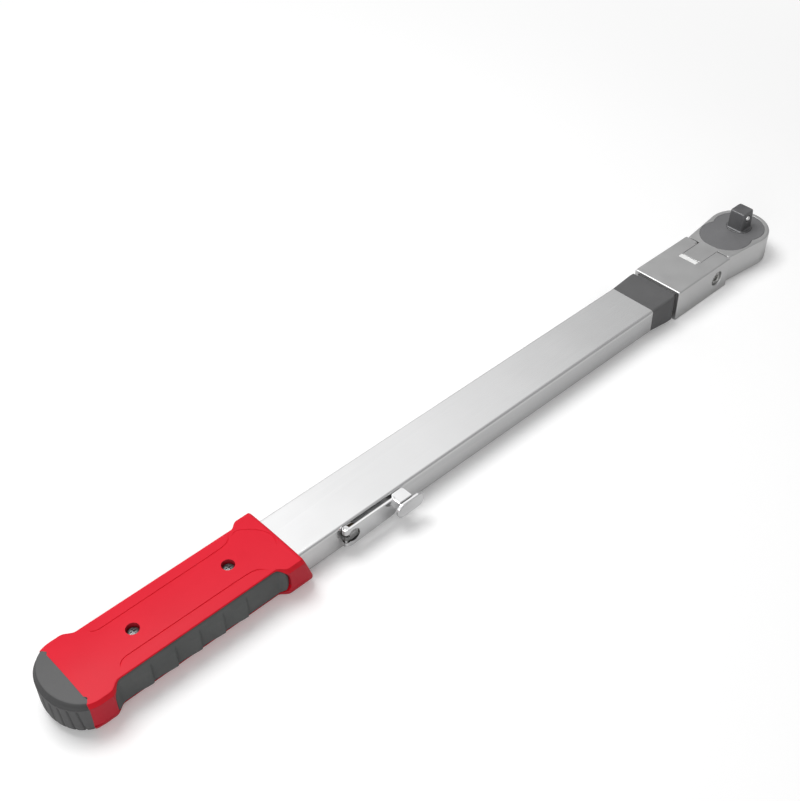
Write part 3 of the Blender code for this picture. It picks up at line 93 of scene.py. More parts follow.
def make_floor():
    """Square floor, white but for the wrench's soft shadow; metal mirrors it grey."""
    mesh = bpy.data.meshes.new("floor")
    half = FLOOR_HALF
    corners = [(-half, -half, FLOOR_Z), (half, -half, FLOOR_Z), (half, half, FLOOR_Z), (-half, half, FLOOR_Z)]
    mesh.from_pydata(corners, [], [(0, 1, 2, 3)])
    floor = bpy.data.objects.new("floor", mesh)
    bpy.context.scene.collection.objects.link(floor)
    paint = bpy.data.materials.new("floor_white")
    paint.use_nodes = True
    tree = paint.node_tree
    tree.nodes.clear()
    path = node_of(tree, "ShaderNodeLightPath")
    plain = node_of(tree, "ShaderNodeBsdfDiffuse", in_Color=(0.86, 0.86, 0.86, 1))
    dim = node_of(tree, "ShaderNodeBsdfDiffuse", in_Color=(0.60, 0.60, 0.60, 1))
    glow = node_of(tree, "ShaderNodeEmission", in_Color=(1, 1, 1, 1), in_Strength=0.20)
    white = node_of(tree, "ShaderNodeEmission", in_Color=(1, 1, 1, 1), in_Strength=1.0)
    place = node_of(tree, "ShaderNodeNewGeometry")
    away = node_of(tree, "ShaderNodeVectorMath", operation="DISTANCE", in_1=(-0.3, 0.0, 0.0))
    far = node_of(tree, "ShaderNodeMapRange", in_1=0.5, in_2=1.0)
    both = node_of(tree, "ShaderNodeAddShader")
    shown = node_of(tree, "ShaderNodeMixShader")
    tree.links.new(place.outputs["Position"], away.inputs[0])
    tree.links.new(away.outputs["Value"], far.inputs[0])
    tree.links.new(far.outputs[0], shown.inputs[0])
    mirrored = node_of(tree, "ShaderNodeMixShader")
    pick = node_of(tree, "ShaderNodeMixShader")
    out = node_of(tree, "ShaderNodeOutputMaterial")
    tree.links.new(plain.outputs[0], both.inputs[0])
    tree.links.new(glow.outputs[0], both.inputs[1])
    tree.links.new(path.outputs["Is Glossy Ray"], mirrored.inputs[0])
    tree.links.new(plain.outputs[0], mirrored.inputs[1])
    tree.links.new(dim.outputs[0], mirrored.inputs[2])
    tree.links.new(path.outputs["Is Camera Ray"], pick.inputs[0])
    tree.links.new(mirrored.outputs[0], pick.inputs[1])
    tree.links.new(both.outputs[0], shown.inputs[1])
    tree.links.new(white.outputs[0], shown.inputs[2])
    tree.links.new(shown.outputs[0], pick.inputs[2])
    tree.links.new(pick.outputs[0], out.inputs["Surface"])
    mesh.materials.append(paint)


def make_world():
    """Even fill for diffuse light; rays that metal reflects see a room graded across one direction."""
    world = bpy.data.worlds.new("studio")
    bpy.context.scene.world = world
    world.use_nodes = True
    tree = world.node_tree
    tree.nodes.clear()
    path = node_of(tree, "ShaderNodeLightPath")
    way = node_of(tree, "ShaderNodeTexCoord")
    dot = node_of(tree, "ShaderNodeVectorMath", operation="DOT_PRODUCT", in_1=(-0.85, 0.30, 0.43))
    tree.links.new(way.outputs["Generated"], dot.inputs[0])
    ramp = node_of(tree, "ShaderNodeValToRGB")
    spread = node_of(tree, "ShaderNodeMapRange", in_1=-0.5, in_2=0.5)
    tree.links.new(dot.outputs["Value"], spread.inputs[0])
    tree.links.new(spread.outputs[0], ramp.inputs[0])
    stops = ((0.0, 0.40), (0.28, 0.45), (0.35, 0.58), (0.41, 0.80), (0.50, 1.02), (0.62, 1.06), (1.0, 1.03))
    for i, (place, level) in enumerate(stops):
        stop = ramp.color_ramp.elements[i] if i < 2 else ramp.color_ramp.elements.new(place)
        stop.position = place
        stop.color = (level, level, level, 1)
    fill = node_of(tree, "ShaderNodeBackground", in_Color=(1, 1, 1, 1), in_Strength=0.37)
    room = node_of(tree, "ShaderNodeBackground", in_Strength=1.0)
    white = node_of(tree, "ShaderNodeBackground", in_Color=(1, 1, 1, 1), in_Strength=1.0)
    tree.links.new(ramp.outputs[0], room.inputs["Color"])
    mirror = node_of(tree, "ShaderNodeMath", operation="MAXIMUM")
    tree.links.new(path.outputs["Is Glossy Ray"], mirror.inputs[0])
    tree.links.new(path.outputs["Is Transmission Ray"], mirror.inputs[1])
    first = node_of(tree, "ShaderNodeMixShader")
    second = node_of(tree, "ShaderNodeMixShader")
    out = node_of(tree, "ShaderNodeOutputWorld")
    tree.links.new(mirror.outputs[0], first.inputs[0])
    tree.links.new(fill.outputs[0], first.inputs[1])
    tree.links.new(room.outputs[0], first.inputs[2])
    tree.links.new(path.outputs["Is Camera Ray"], second.inputs[0])
    tree.links.new(first.outputs[0], second.inputs[1])
    tree.links.new(white.outputs[0], second.inputs[2])
    tree.links.new(second.outputs[0], out.inputs["Surface"])


def make_panel(name, place, aim, size, power):
    """Square soft panel that faces a point of the wrench."""
    lamp = bpy.data.lights.new(name, "AREA")
    lamp.shape = "SQUARE"
    lamp.size = size
    lamp.energy = power
    panel = bpy.data.objects.new(name, lamp)
    panel.location = place
    panel.rotation_euler = (Vector(place) - Vector(aim)).to_track_quat("Z", "Y").to_euler()
    bpy.context.scene.collection.objects.link(panel)


make_floor()
make_world()
make_panel("key_panel", (-0.55, 0.50, 1.48), (-0.32, 0.0, 0.0), 0.85, 17.6)
make_panel("side_panel", (-1.60, -0.75, 0.50), (-0.45, 0.0, 0.0), 0.5, 3.4)
bpy.context.scene.view_settings.view_transform = "Standard"

# Ratchet head
# A forged and machined eye with a flat neck, whose tongue reaches back into the yoke. Drop-forged
# steel, blasted to an even satin and plated; the cover, gear and lever drop into bores in it.

DECK = -15.7 * MM
HEAD_RADIUS = 23.1 * MM
HEAD_HEIGHT = 23.1 * MM
NECK_X = -39.0 * MM
NECK_HALF = 18.9 * MM
TONGUE_REAR = -60.0 * MM
TONGUE_HALF = 8.2 * MM
COVER_FRONT_RADIUS = 19.4 * MM
COVER_REAR_X = -17.0 * MM
COVER_REAR_RADIUS = 19.6 * MM
COVER_THICK = 2.0 * MM
HEAD_CENTRE = (-9.0 * MM, 0.0)
AROUND = 360


def around(points, centre, count=AROUND):
    """Star-shaped outline read again at even angles about a centre, count by 2."""
    away = np.asarray(points) - np.asarray(centre)
    turn = np.arctan2(away[:, 1], away[:, 0])
    wanted = 2 * np.pi * np.arange(count) / count - np.pi
    far = np.interp(wanted, turn, np.hypot(*away.T), period=2 * np.pi)
    return np.stack([far * np.cos(wanted), far * np.sin(wanted)], axis=1) + centre


def arc(centre, radius, start, end, steps=40):
    """Points on an arc between two angles in degrees, both ends included."""
    turn = np.radians(np.linspace(start, end, steps + 1))
    return np.stack([centre[0] + radius * np.cos(turn), centre[1] + radius * np.sin(turn)], axis=1)


def lines(*corners, steps=24):
    """Points along straight lines from corner to corner."""
    share = np.linspace(0, 1, steps, endpoint=False)[:, None]
    runs = [np.asarray(a) * (1 - share) + np.asarray(b) * share for a, b in zip(corners, corners[1:])]
    return np.concatenate(runs)


def circle(centre, radius, count=AROUND):
    """Whole circle at even angles that start along -X, as around() gives for the head."""
    return around(arc(centre, radius, -180, 180, count)[:-1], centre, count)


def head_outline(inset):
    """Round eye with tangent sides that run out to the neck's shoulders; their rear edge is crisp."""
    radius, half, rear = HEAD_RADIUS - inset, NECK_HALF - inset, NECK_X + 0.1 * inset
    reach = math.hypot(rear, half)
    tangent = math.degrees(math.atan2(half, rear) - math.acos(radius / reach))
    eye_arc = arc((0, 0), radius, -tangent, tangent, 240)
    corner = 0.5 * MM
    back = lines(eye_arc[-1], (rear + corner, half), (rear, half - corner), (rear, corner - half),
                 (rear + corner, -half), eye_arc[0])
    return around(np.concatenate([eye_arc[:-1], back]), HEAD_CENTRE)


def cover_outline(grow):
    """Two overlapping circles, one on the drive axis and one over the pawl."""
    front, rear = COVER_FRONT_RADIUS + grow, COVER_REAR_RADIUS + grow
    meet = (front ** 2 - rear ** 2 + COVER_REAR_X ** 2) / (2 * COVER_REAR_X)
    front_turn = math.degrees(math.acos(meet / front))
    rear_turn = math.degrees(math.acos((meet - COVER_REAR_X) / rear))
    points = np.concatenate([arc((0, 0), front, -front_turn, front_turn, 200),
                             arc((COVER_REAR_X, 0), rear, rear_turn, 360 - rear_turn, 200)[1:-1]])
    return around(points, HEAD_CENTRE)


def level(outline, z):
    """Outline points lifted to one height, as one row of a surface."""
    return np.column_stack([outline, np.full(len(outline), z)])


def pole(row):
    """Row of the same length with all its points at the middle of it, which closes a surface."""
    return np.broadcast_to(row.mean(axis=0), row.shape)


def soft_edge(z, way, radius, steps=4):
    """(inset, height) pairs of a quarter round that starts on the flat and ends on the side.

    way is -1 where the side goes down from the flat and 1 where it goes up. The extra first pair
    keeps the flat flat up to the round.
    """
    turn = np.linspace(0, np.pi / 2, steps + 1)
    pairs = [(radius * 1.25, z)]
    return pairs + [(radius * (1 - math.sin(a)), z + way * radius * (1 - math.cos(a))) for a in turn]


def puck(outline, top, bottom, top_radius, bottom_radius, steps=4):
    """Closed rows of a flat piece with two round edges; outline(inset) gives its plan."""
    pairs = soft_edge(top, -1, top_radius, steps) + soft_edge(bottom, 1, bottom_radius, steps)[::-1]
    rows = [level(outline(inset), z) for inset, z in pairs]
    return [pole(rows[0])] + rows + [pole(rows[-1])]


def skin(rows, wrap=True):
    """Faces through rows of points, as (points, faces): four neighbours make one face."""
    rows = np.asarray(rows)
    index = np.arange(rows.shape[0] * rows.shape[1]).reshape(rows.shape[:2])
    left, right = (index, np.roll(index, -1, axis=1)) if wrap else (index[:, :-1], index[:, 1:])
    faces = np.stack([left[:-1], right[:-1], right[1:], left[1:]], axis=-1)
    return rows.reshape(-1, 3), faces.reshape(-1, 4)


def keep_flats(piece):
    """Normals weighted by face area, so that flats look flat right up to their round edges."""
    step = piece.modifiers.new("flats", "WEIGHTED_NORMAL")
    step.keep_sharp = True
    step.weight = 60


def make_piece(name, skins, paint, body, stands_for=(), sharp=32.0):
    """One object of closed skins: seams and poles merged, faces outward, riding on its body."""
    points, faces, base = [], [], 0
    for some, quads in skins:
        points.append(some)
        faces.append(quads + base)
        base += len(some)
    mesh = bpy.data.meshes.new(name)
    mesh.from_pydata(np.concatenate(points).tolist(), [], np.concatenate(faces).tolist())
    bm = bmesh.new()
    bm.from_mesh(mesh)
    bmesh.ops.remove_doubles(bm, verts=bm.verts, dist=2e-7)
    bmesh.ops.recalc_face_normals(bm, faces=bm.faces)
    bm.to_mesh(mesh)
    bm.free()
    mesh.shade_smooth()
    mesh.set_sharp_from_angle(angle=math.radians(sharp))
    mesh.materials.append(paint)
    piece = bpy.data.objects.new(name, mesh)
    bpy.context.scene.collection.objects.link(piece)
    keep_flats(piece)
    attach(piece, body)
    if stands_for:
        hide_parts(*stands_for)
    return piece


def finish(name, light, dark, metallic, rough, grain, stretch=(1, 1, 1), bump=0.1, patch=60.0, depth=0.02,
           worn=None, painted_light_by_slope=None, **sockets):
    """Principled surface worked from the piece's own coordinates.

    Broad noise moves the colour between dark and light and the roughness within rough. Fine grain,
    drawn out along an axis where the metal was brushed, gives the relief, depth in millimetres.
    Where worn is a colour, it shows along the raised edges. The two colours for slanted rims and for
    side walls are painted light and shade: they come in as the surface turns away from the top.
    """
    paint = bpy.data.materials.new(name)
    paint.use_nodes = True
    tree = paint.node_tree
    shader = tree.nodes["Principled BSDF"]
    shader.inputs["Metallic"].default_value = metallic
    for key, value in sockets.items():
        shader.inputs[key.replace("_", " ")].default_value = value
    place = node_of(tree, "ShaderNodeTexCoord")
    drawn = node_of(tree, "ShaderNodeMapping", in_Scale=stretch)
    tree.links.new(place.outputs["Object"], drawn.inputs["Vector"])
    broad = node_of(tree, "ShaderNodeTexNoise", in_Scale=patch, in_Detail=4.0, in_Roughness=0.6)
    fine = node_of(tree, "ShaderNodeTexNoise", in_Scale=grain, in_Detail=3.0, in_Roughness=0.55)
    tree.links.new(place.outputs["Object"], broad.inputs["Vector"])
    tree.links.new(drawn.outputs[0], fine.inputs["Vector"])
    blend = node_of(tree, "ShaderNodeMix", data_type="FLOAT", in_0=0.45)
    tree.links.new(broad.outputs["Fac"], blend.inputs[2])
    tree.links.new(fine.outputs["Fac"], blend.inputs[3])
    even = node_of(tree, "ShaderNodeMapRange", in_1=0.35, in_2=0.65)
    tree.links.new(blend.outputs[0], even.inputs[0])
    tint = node_of(tree, "ShaderNodeMix", data_type="RGBA", in_6=(*dark, 1), in_7=(*light, 1))
    tree.links.new(even.outputs[0], tint.inputs[0])
    colour = tint.outputs[2]
    if worn:
        geometry = node_of(tree, "ShaderNodeNewGeometry")
        edge = node_of(tree, "ShaderNodeMapRange", in_1=0.53, in_2=0.60)
        rub = node_of(tree, "ShaderNodeMix", data_type="RGBA", in_7=(*worn, 1))
        tree.links.new(geometry.outputs["Pointiness"], edge.inputs[0])
        tree.links.new(edge.outputs[0], rub.inputs[0])
        tree.links.new(colour, rub.inputs[6])
        colour = rub.outputs[2]
    # Painted light and shade: the colour turns to the rim's and then to the side's as the normal leans away
    # from straight up.
    if painted_light_by_slope:
        facing = node_of(tree, "ShaderNodeSeparateXYZ")
        tree.links.new(place.outputs["Normal"], facing.inputs[0])
        for tone, none, full in ((painted_light_by_slope[0], 0.92, 0.80), (painted_light_by_slope[1], 0.22, 0.12)):
            share = node_of(tree, "ShaderNodeMapRange", in_1=none, in_2=full)
            shade = node_of(tree, "ShaderNodeMix", data_type="RGBA", in_7=(*tone, 1))
            tree.links.new(facing.outputs["Z"], share.inputs[0])
            tree.links.new(share.outputs[0], shade.inputs[0])
            tree.links.new(colour, shade.inputs[6])
            colour = shade.outputs[2]
    tree.links.new(colour, shader.inputs["Base Color"])
    gloss = node_of(tree, "ShaderNodeMapRange", in_1=0.35, in_2=0.65, in_3=rough[0], in_4=rough[1])
    tree.links.new(blend.outputs[0], gloss.inputs[0])
    tree.links.new(gloss.outputs[0], shader.inputs["Roughness"])
    relief = node_of(tree, "ShaderNodeBump", in_Strength=bump, in_Distance=depth * MM)
    tree.links.new(fine.outputs["Fac"], relief.inputs["Height"])
    tree.links.new(relief.outputs[0], shader.inputs["Normal"])
    return paint


def wear(names, paint):
    """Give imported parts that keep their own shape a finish."""
    for name in names:
        slots = NODES[name].data.materials
        slots.clear()
        slots.append(paint)


# The two extra colours are painted light: slanted rims and side walls come out lighter than the top.
SATIN_NICKEL = finish("satin_nickel", (0.59, 0.59, 0.59), (0.53, 0.53, 0.53), 1.0, (0.30, 0.42), 2600.0,
                      bump=0.25, patch=35.0, depth=0.03, painted_light_by_slope=((0.64, 0.64, 0.64), (0.76, 0.76, 0.76)))


def box_rows(low, high, radius, steps=3):
    """Closed rows of a box between two corners with every upright edge and both rims rounded."""
    def plan(inset):
        a, b = np.array(low[:2]) + inset, np.array(high[:2]) - inset
        corner = max(radius - inset, 0.05 * MM)
        spots = ((b[0], b[1], 0), (a[0], b[1], 90), (a[0], a[1], 180), (b[0], a[1], 270))
        arcs = []
        for x, y, turn in spots:
            cx = x - corner if x == b[0] else x + corner
            cy = y - corner if y == b[1] else y + corner
            arcs.append(arc((cx, cy), corner, turn, turn + 90, steps * 2))
        return np.concatenate(arcs)
    return puck(plan, high[2], low[2], radius, radius, steps)


def make_head():
    """Rows run from the cover's recess over the top, down the side and into the lever's pocket."""
    top_round, low_round = 1.2 * MM, 1.0 * MM
    floor = DECK - COVER_THICK - 0.3 * MM
    under = DECK - HEAD_HEIGHT
    pocket = circle((-24.5 * MM, 0), 12.8 * MM)
    pocket_top = DECK - 21.8 * MM
    rows = [level(cover_outline(0.18 * MM), floor), level(cover_outline(0.18 * MM), DECK - 0.1 * MM),
            level(cover_outline(0.28 * MM), DECK)]
    rows += [level(head_outline(inset), z) for inset, z in soft_edge(DECK, -1, top_round, 6)]
    rows += [level(head_outline(inset), z) for inset, z in soft_edge(under, 1, low_round, 5)[::-1]]
    rows += [level(pocket, under), level(pocket, pocket_top)]
    body = skin([pole(rows[0])] + rows + [pole(rows[-1])])
    sliver = 0.004 * MM
    tongue = skin(box_rows((TONGUE_REAR, -TONGUE_HALF, DECK - 19.6 * MM),
                           (NECK_X + 3 * MM, TONGUE_HALF, DECK - sliver), 0.12 * MM))
    shank = skin(box_rows((-66.0 * MM, -15.0 * MM, DECK - 20.6 * MM),
                          (NECK_X + 3 * MM, 15.0 * MM, DECK - 3.2 * MM), 0.5 * MM))
    make_piece("head_forging", [body, tongue, shank], SATIN_NICKEL, "frame", ["ratchet_head"])


make_head()

# Cover plate
# A ground steel plate that drops into the head over the gear, held by two flush pins. Black oxide,
# rubbed to a dull mid grey; the drive square comes up through its round hole.

COVER_HOLE = 9.45 * MM
PIN_RADIUS = 1.9 * MM
PIN_PLACES = {"far": (-12.5 * MM, 15.8 * MM), "near": (-12.5 * MM, -15.8 * MM)}
OXIDE_PLATE = finish("oxide_plate", (0.205, 0.205, 0.21), (0.165, 0.165, 0.17), 0.35, (0.46, 0.60), 1500.0,
                     bump=0.15, patch=28.0, depth=0.02, Specular_IOR_Level=0.4)


def make_cover():
    """The plate's ring runs up the hole, over the top and down the outside, and closes on itself."""
    low = DECK - COVER_THICK
    hole = circle((0, 0), COVER_HOLE)
    hole_rim = circle((0, 0), COVER_HOLE + 0.25 * MM)
    rim = 0.2 * MM
    rows = [level(hole, low), level(hole, DECK - rim), level(hole_rim, DECK)]
    rows += [level(cover_outline(-inset), z) for inset, z in soft_edge(DECK, -1, rim, 2)]
    rows += [level(cover_outline(0.0), low), level(hole, low)]
    make_piece("cover_disc", [skin(rows)], OXIDE_PLATE, "frame", ["cover_plate"])
    for side, spot in PIN_PLACES.items():
        rows = puck(lambda inset, spot=spot: circle(spot, PIN_RADIUS - inset, 48), DECK + 0.04 * MM,
                    DECK - 5.6 * MM, 0.15 * MM, 0.15 * MM, 2)
        make_piece(f"flush_pin_{side}", [skin(rows)], OXIDE_PLATE, "frame", [f"cover_pin_{side}"])


make_cover()

# Drive gear and square
# One piece of hardened steel: the half-inch square on top, a hub in the cover's hole, 36 ratchet
# teeth under the cover and a journal below. Black oxide, brighter where sockets rub the edges.

DRIVE_HALF = 6.35 * MM
HUB_RADIUS = 9.3 * MM
BALL_Z = -5.6 * MM
BALL_RADIUS = 2.55 * MM
BALL_Y = -DRIVE_HALF + BALL_RADIUS - 1.15 * MM
TEETH = 36
TOOTH_POINTS = 10
BLACK_OXIDE = finish("black_oxide", (0.17, 0.17, 0.175), (0.125, 0.125, 0.13), 0.55, (0.30, 0.46), 1800.0,
                     bump=0.2, patch=90.0, depth=0.03, worn=(0.33, 0.33, 0.33))


def make_drive():
    """Polar rows: the square is the nearer of four flats and a round nose, the teeth a clipped wave."""
    count = TEETH * TOOTH_POINTS
    turn = 2 * np.pi * np.arange(count) / count
    flats = 1 / np.maximum(np.abs(np.cos(turn)), np.abs(np.sin(turn)))

    def ring(reach, z):
        """Row of points at a reach from the drive axis that may differ with the angle."""
        reach = np.broadcast_to(reach, turn.shape)
        return np.stack([reach * np.cos(turn), reach * np.sin(turn), np.full(count, z)], axis=1)

    def square(half, nose):
        """Reach of the square with its corners cut by the nose, blended over a fraction of a mm."""
        blend = 0.35 * MM
        gap = half * flats - nose
        return nose + 0.5 * (gap - np.sqrt(gap ** 2 + blend ** 2)) + 0.5 * blend * 0.2

    rows = [ring(0, 0), ring(square(2.4 * MM, 3.2 * MM), 0)]
    for inset, z in soft_edge(0.0, -1, 0.75 * MM, 6):
        rows.append(ring(square(DRIVE_HALF - inset, 8.25 * MM - inset), z))
    nose_levels = ((-1.6, 8.4), (-2.4, 8.5), (-3.4, 8.6), (-4.6, 8.68), (-5.6, 8.72), (-8.0, 8.75),
                   (-11.0, 8.75), (-14.2, 8.75))
    rows += [ring(square(DRIVE_HALF, nose * MM), z * MM) for z, nose in nose_levels]
    hub_top = DECK + 0.3 * MM
    fillet = 0.9 * MM
    for share in (0.0, 0.3, 0.6, 0.85, 1.0):
        angle = share * math.pi / 2
        flare = fillet * (1 - math.cos(angle))
        reach = np.minimum(square(DRIVE_HALF, 8.75 * MM) + flare, HUB_RADIUS - 0.2 * MM)
        rows.append(ring(reach, hub_top + fillet * (1 - math.sin(angle))))
    gear_top, gear_low = DECK - 3.2 * MM, DECK - 17.4 * MM
    rows += [ring(HUB_RADIUS - 0.25 * MM, hub_top), ring(HUB_RADIUS, hub_top - 0.3 * MM),
             ring(HUB_RADIUS, gear_top), ring(10.5 * MM, gear_top)]
    wave = np.clip(1.15 * np.cos(TEETH * turn) + 0.35, 0.0, 1.0)
    teeth = 13.9 * MM + 1.1 * MM * wave
    rows += [ring(teeth - 0.25 * MM, gear_top), ring(teeth, gear_top - 0.25 * MM),
             ring(teeth, gear_low + 0.25 * MM), ring(teeth - 0.25 * MM, gear_low)]
    journal, end = 8.1 * MM, DECK - HEAD_HEIGHT + 0.3 * MM
    rows += [ring(journal, gear_low), ring(journal, end + 0.5 * MM), ring(journal - 0.5 * MM, end),
             ring(0, end)]
    gear = make_piece("drive_square", [skin(rows)], BLACK_OXIDE, "drive", ["drive_gear"], 26.0)
    bore = lay_along_y(lambda inset: circle((0, BALL_Z), BALL_RADIUS + 0.3 * MM - inset, 48), 3.0 * MM,
                       -9.0 * MM, 0.01 * MM, 0.01 * MM)
    bore_out(gear, [bore])


def lay_along_y(outline, far, near, far_radius, near_radius, steps=2):
    """Puck whose plan is in X and Z and whose faces look along +Y and -Y."""
    rows = np.asarray(puck(outline, far, near, far_radius, near_radius, steps))
    return skin(rows[..., [0, 2, 1]])


def bore_out(piece, cutters):
    """Take closed skins out of a piece with one exact Boolean each, applied at once."""
    piece.modifiers.clear()
    for i, cutter in enumerate(cutters):
        mesh = bpy.data.meshes.new("cutter")
        mesh.from_pydata(cutter[0].tolist(), [], cutter[1].tolist())
        bm = bmesh.new()
        bm.from_mesh(mesh)
        bmesh.ops.remove_doubles(bm, verts=bm.verts, dist=2e-7)
        bmesh.ops.recalc_face_normals(bm, faces=bm.faces)
        bm.to_mesh(mesh)
        bm.free()
        drill = bpy.data.objects.new("cutter", mesh)
        bpy.context.scene.collection.objects.link(drill)
        step = piece.modifiers.new("bore", "BOOLEAN")
        step.operation = "DIFFERENCE"
        step.solver = "EXACT"
        step.object = drill
        bpy.context.view_layer.update()
        result = bpy.data.meshes.new_from_object(piece.evaluated_get(bpy.context.evaluated_depsgraph_get()))
        piece.modifiers.clear()
        old = piece.data
        piece.data = result
        bpy.data.meshes.remove(old)
        bpy.data.objects.remove(drill, do_unlink=True)
        bpy.data.meshes.remove(mesh)
    piece.data.set_sharp_from_angle(angle=math.radians(32))
    keep_flats(piece)


make_drive()

# Detent ball
# A hardened steel ball that a coil spring pushes out of the square to hold a socket. Polished;
# its bore in the square is cut plain, with no lip peened over it.

BALL_STEEL = finish("ball_steel", (0.86, 0.86, 0.86), (0.78, 0.78, 0.78), 1.0, (0.06, 0.12), 900.0,
                    bump=0.03, patch=300.0, depth=0.005)


def make_ball():
    """Rows of latitude from pole to pole: radius times sine and cosine of the angle from the pole."""
    turn = np.linspace(0, np.pi, 33)
    rows = [level(circle((0, BALL_Y), BALL_RADIUS * math.sin(a), 64), BALL_Z + BALL_RADIUS * math.cos(a))
            for a in turn[1:-1]]
    tips = [np.tile((0, BALL_Y, BALL_Z + way * BALL_RADIUS), (64, 1)) for way in (1, -1)]
    make_piece("detent_ball_polished", [skin([tips[0]] + rows + [tips[1]])], BALL_STEEL, "ball",
               ["detent_ball"])


make_ball()

# Reversing lever
# A stamped thumb lever under the neck, on the pawl's spindle. Chromed steel, with raised thumb
# ridges on its lower face and its edges tumbled round.

REST = cad_box[0][2]
LEVER_X = -24.5 * MM
LEVER_HUB = 6.6 * MM
LEVER_TIP = 3.0 * MM
LEVER_REACH = 12.2 * MM
LEVER_TURN = math.radians(-27.5)
LEVER_LOW, LEVER_HIGH = REST + 0.4 * MM, DECK - 22.1 * MM
SPINDLE_RADIUS = 3.0 * MM
LEVER_CHROME = finish("lever_chrome", (0.80, 0.80, 0.81), (0.70, 0.70, 0.71), 1.0, (0.08, 0.16), 1400.0,
                      bump=0.06, patch=80.0, depth=0.01, worn=(0.88, 0.88, 0.88))


def lever_outline(inset):
    """Hull of the hub's circle and the tip's: the farther of the two supports at each angle."""
    hub, tip, reach = LEVER_HUB - inset, LEVER_TIP - inset, LEVER_REACH - LEVER_TIP
    lean = math.degrees(math.acos((hub - tip) / reach))
    points = np.concatenate([arc((0, 0), hub, lean, 360 - lean, 80), arc((reach, 0), tip, -lean, lean, 40)])
    turn = np.array([[math.cos(LEVER_TURN), math.sin(LEVER_TURN)],
                     [-math.sin(LEVER_TURN), math.cos(LEVER_TURN)]])
    return around(points @ turn + (LEVER_X, 0), (LEVER_X + 2 * MM * math.cos(LEVER_TURN),
                                                 2 * MM * math.sin(LEVER_TURN)), 180)


def make_lever():
    """Rounded plate with its spindle, and three bars across the tip for the thumb."""
    plate = skin(puck(lever_outline, LEVER_HIGH, LEVER_LOW + 0.2 * MM, 0.5 * MM, 0.5 * MM))
    spindle = skin(puck(lambda inset: circle((LEVER_X, 0), SPINDLE_RADIUS - inset, 64), DECK - 3.6 * MM,
                        LEVER_HIGH - 1.0 * MM, 0.4 * MM, 0.05 * MM))
    turn = np.array([[math.cos(LEVER_TURN), math.sin(LEVER_TURN), 0],
                     [-math.sin(LEVER_TURN), math.cos(LEVER_TURN), 0], [0, 0, 1]])
    bars = []
    for x in (6.6, 8.2, 9.8):
        half = (2.6 - 0.28 * (x - 6.6)) * MM
        rows, faces = skin(box_rows((x * MM - 0.35 * MM, -half, LEVER_LOW),
                                    (x * MM + 0.35 * MM, half, LEVER_LOW + MM), 0.25 * MM, 2))
        bars.append((rows @ turn + (LEVER_X, 0, 0), faces))
    make_piece("thumb_lever", [plate, spindle] + bars, LEVER_CHROME, "reverser", ["reversing_lever"])


make_lever()

# Ratchet pieces under the cover
# Pawl, thrust washer and ball spring: oiled spring steel, hardened to a grey straw colour. Only
# turned or stamped faces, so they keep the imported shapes.

SPRING_GREY = finish("spring_grey", (0.46, 0.46, 0.47), (0.34, 0.34, 0.35), 1.0, (0.24, 0.36), 2200.0,
                     stretch=(0.2, 1, 1), bump=0.15, patch=120.0, depth=0.02)
wear(["ratchet_pawl", "gear_washer", "detent_spring"], SPRING_GREY)

# Yoke
# A machined block that holds the head's shank between two screws and carries the tube on a spigot.
# Same satin nickel as the head; a bare painted bar on its top shows the line of the pull.

YOKE_X = (-101.0 * MM, -39.8 * MM)
YOKE_HALF = 20.5 * MM
TUBE_TOP = DECK - 1.6 * MM
TUBE_BOTTOM = TUBE_TOP - 19.5 * MM
TUBE_MID = (TUBE_TOP + TUBE_BOTTOM) / 2
SCREW_AT = (-53.2 * MM, TUBE_MID - 0.3 * MM)
COUNTERBORE = 5.8 * MM
SLEEVE_HALF, SLEEVE_TALL = 14.8 * MM, 13.2 * MM
SPIGOT_HALF, SPIGOT_TALL = 16.9 * MM, 15.3 * MM
SPIGOT_X = (-165.0 * MM, -128.1 * MM)
MARK_X, MARK_Y = (-64.6 * MM, -60.6 * MM), (-7.0 * MM, 8.6 * MM)
MARK_PAINT = finish("mark_paint", (0.93, 0.93, 0.92), (0.88, 0.88, 0.87), 0.0, (0.40, 0.55), 1500.0,
                    bump=0.05, patch=200.0, depth=0.01)


def bar_loop(half, low, high, radius, steps=6):
    """(y, z) points of an upright rectangle with four round corners, anticlockwise from its right side.

    One more point on each flat, close to every arc, keeps the flats flat.
    """
    corners = ((half, high, 0), (-half, high, 90), (-half, low, 180), (half, low, 270))
    arcs = []
    for y, z, turn in corners:
        cy = y - math.copysign(radius, y)
        cz = z - radius if z == high else z + radius
        bend = arc((cy, cz), radius, turn, turn + 90, steps)
        way = 0.3 * radius * np.array([-math.sin(math.radians(turn)), math.cos(math.radians(turn))])
        out = 0.3 * radius * np.array([math.cos(math.radians(turn)), math.sin(math.radians(turn))])
        arcs.append(np.concatenate([[bend[0] - way], bend, [bend[-1] - out]]))
    return np.concatenate(arcs)


def across(loop, x):
    """(y, z) loop set at one place along the wrench, as a row."""
    return np.column_stack([np.full(len(loop), x), loop])


def bar(x, half, low, high, radius, rear_round, front_round, steps=5):
    """Closed rows of a bar along X: round rectangle sections that shrink by a quarter round at each end."""
    rows = []
    for place, way, edge in ((x[0], 1, rear_round), (x[1], -1, front_round)):
        pairs = soft_edge(place, way, edge, steps)
        pairs = pairs if way == 1 else pairs[::-1]
        rows += [across(bar_loop(half - inset, low + inset, high - inset, max(radius - inset, 0.05 * MM)), at)
                 for inset, at in pairs]
    return skin([pole(rows[0])] + rows + [pole(rows[-1])])


def pipe(stations):
    """Closed wall through (x, outer loop, inner loop) stations: out along the outside, back inside."""
    outer = [across(loop, x) for x, loop, _ in stations]
    inner = [across(loop, x) for x, _, loop in stations[::-1]]
    return skin(outer + inner + outer[:1])


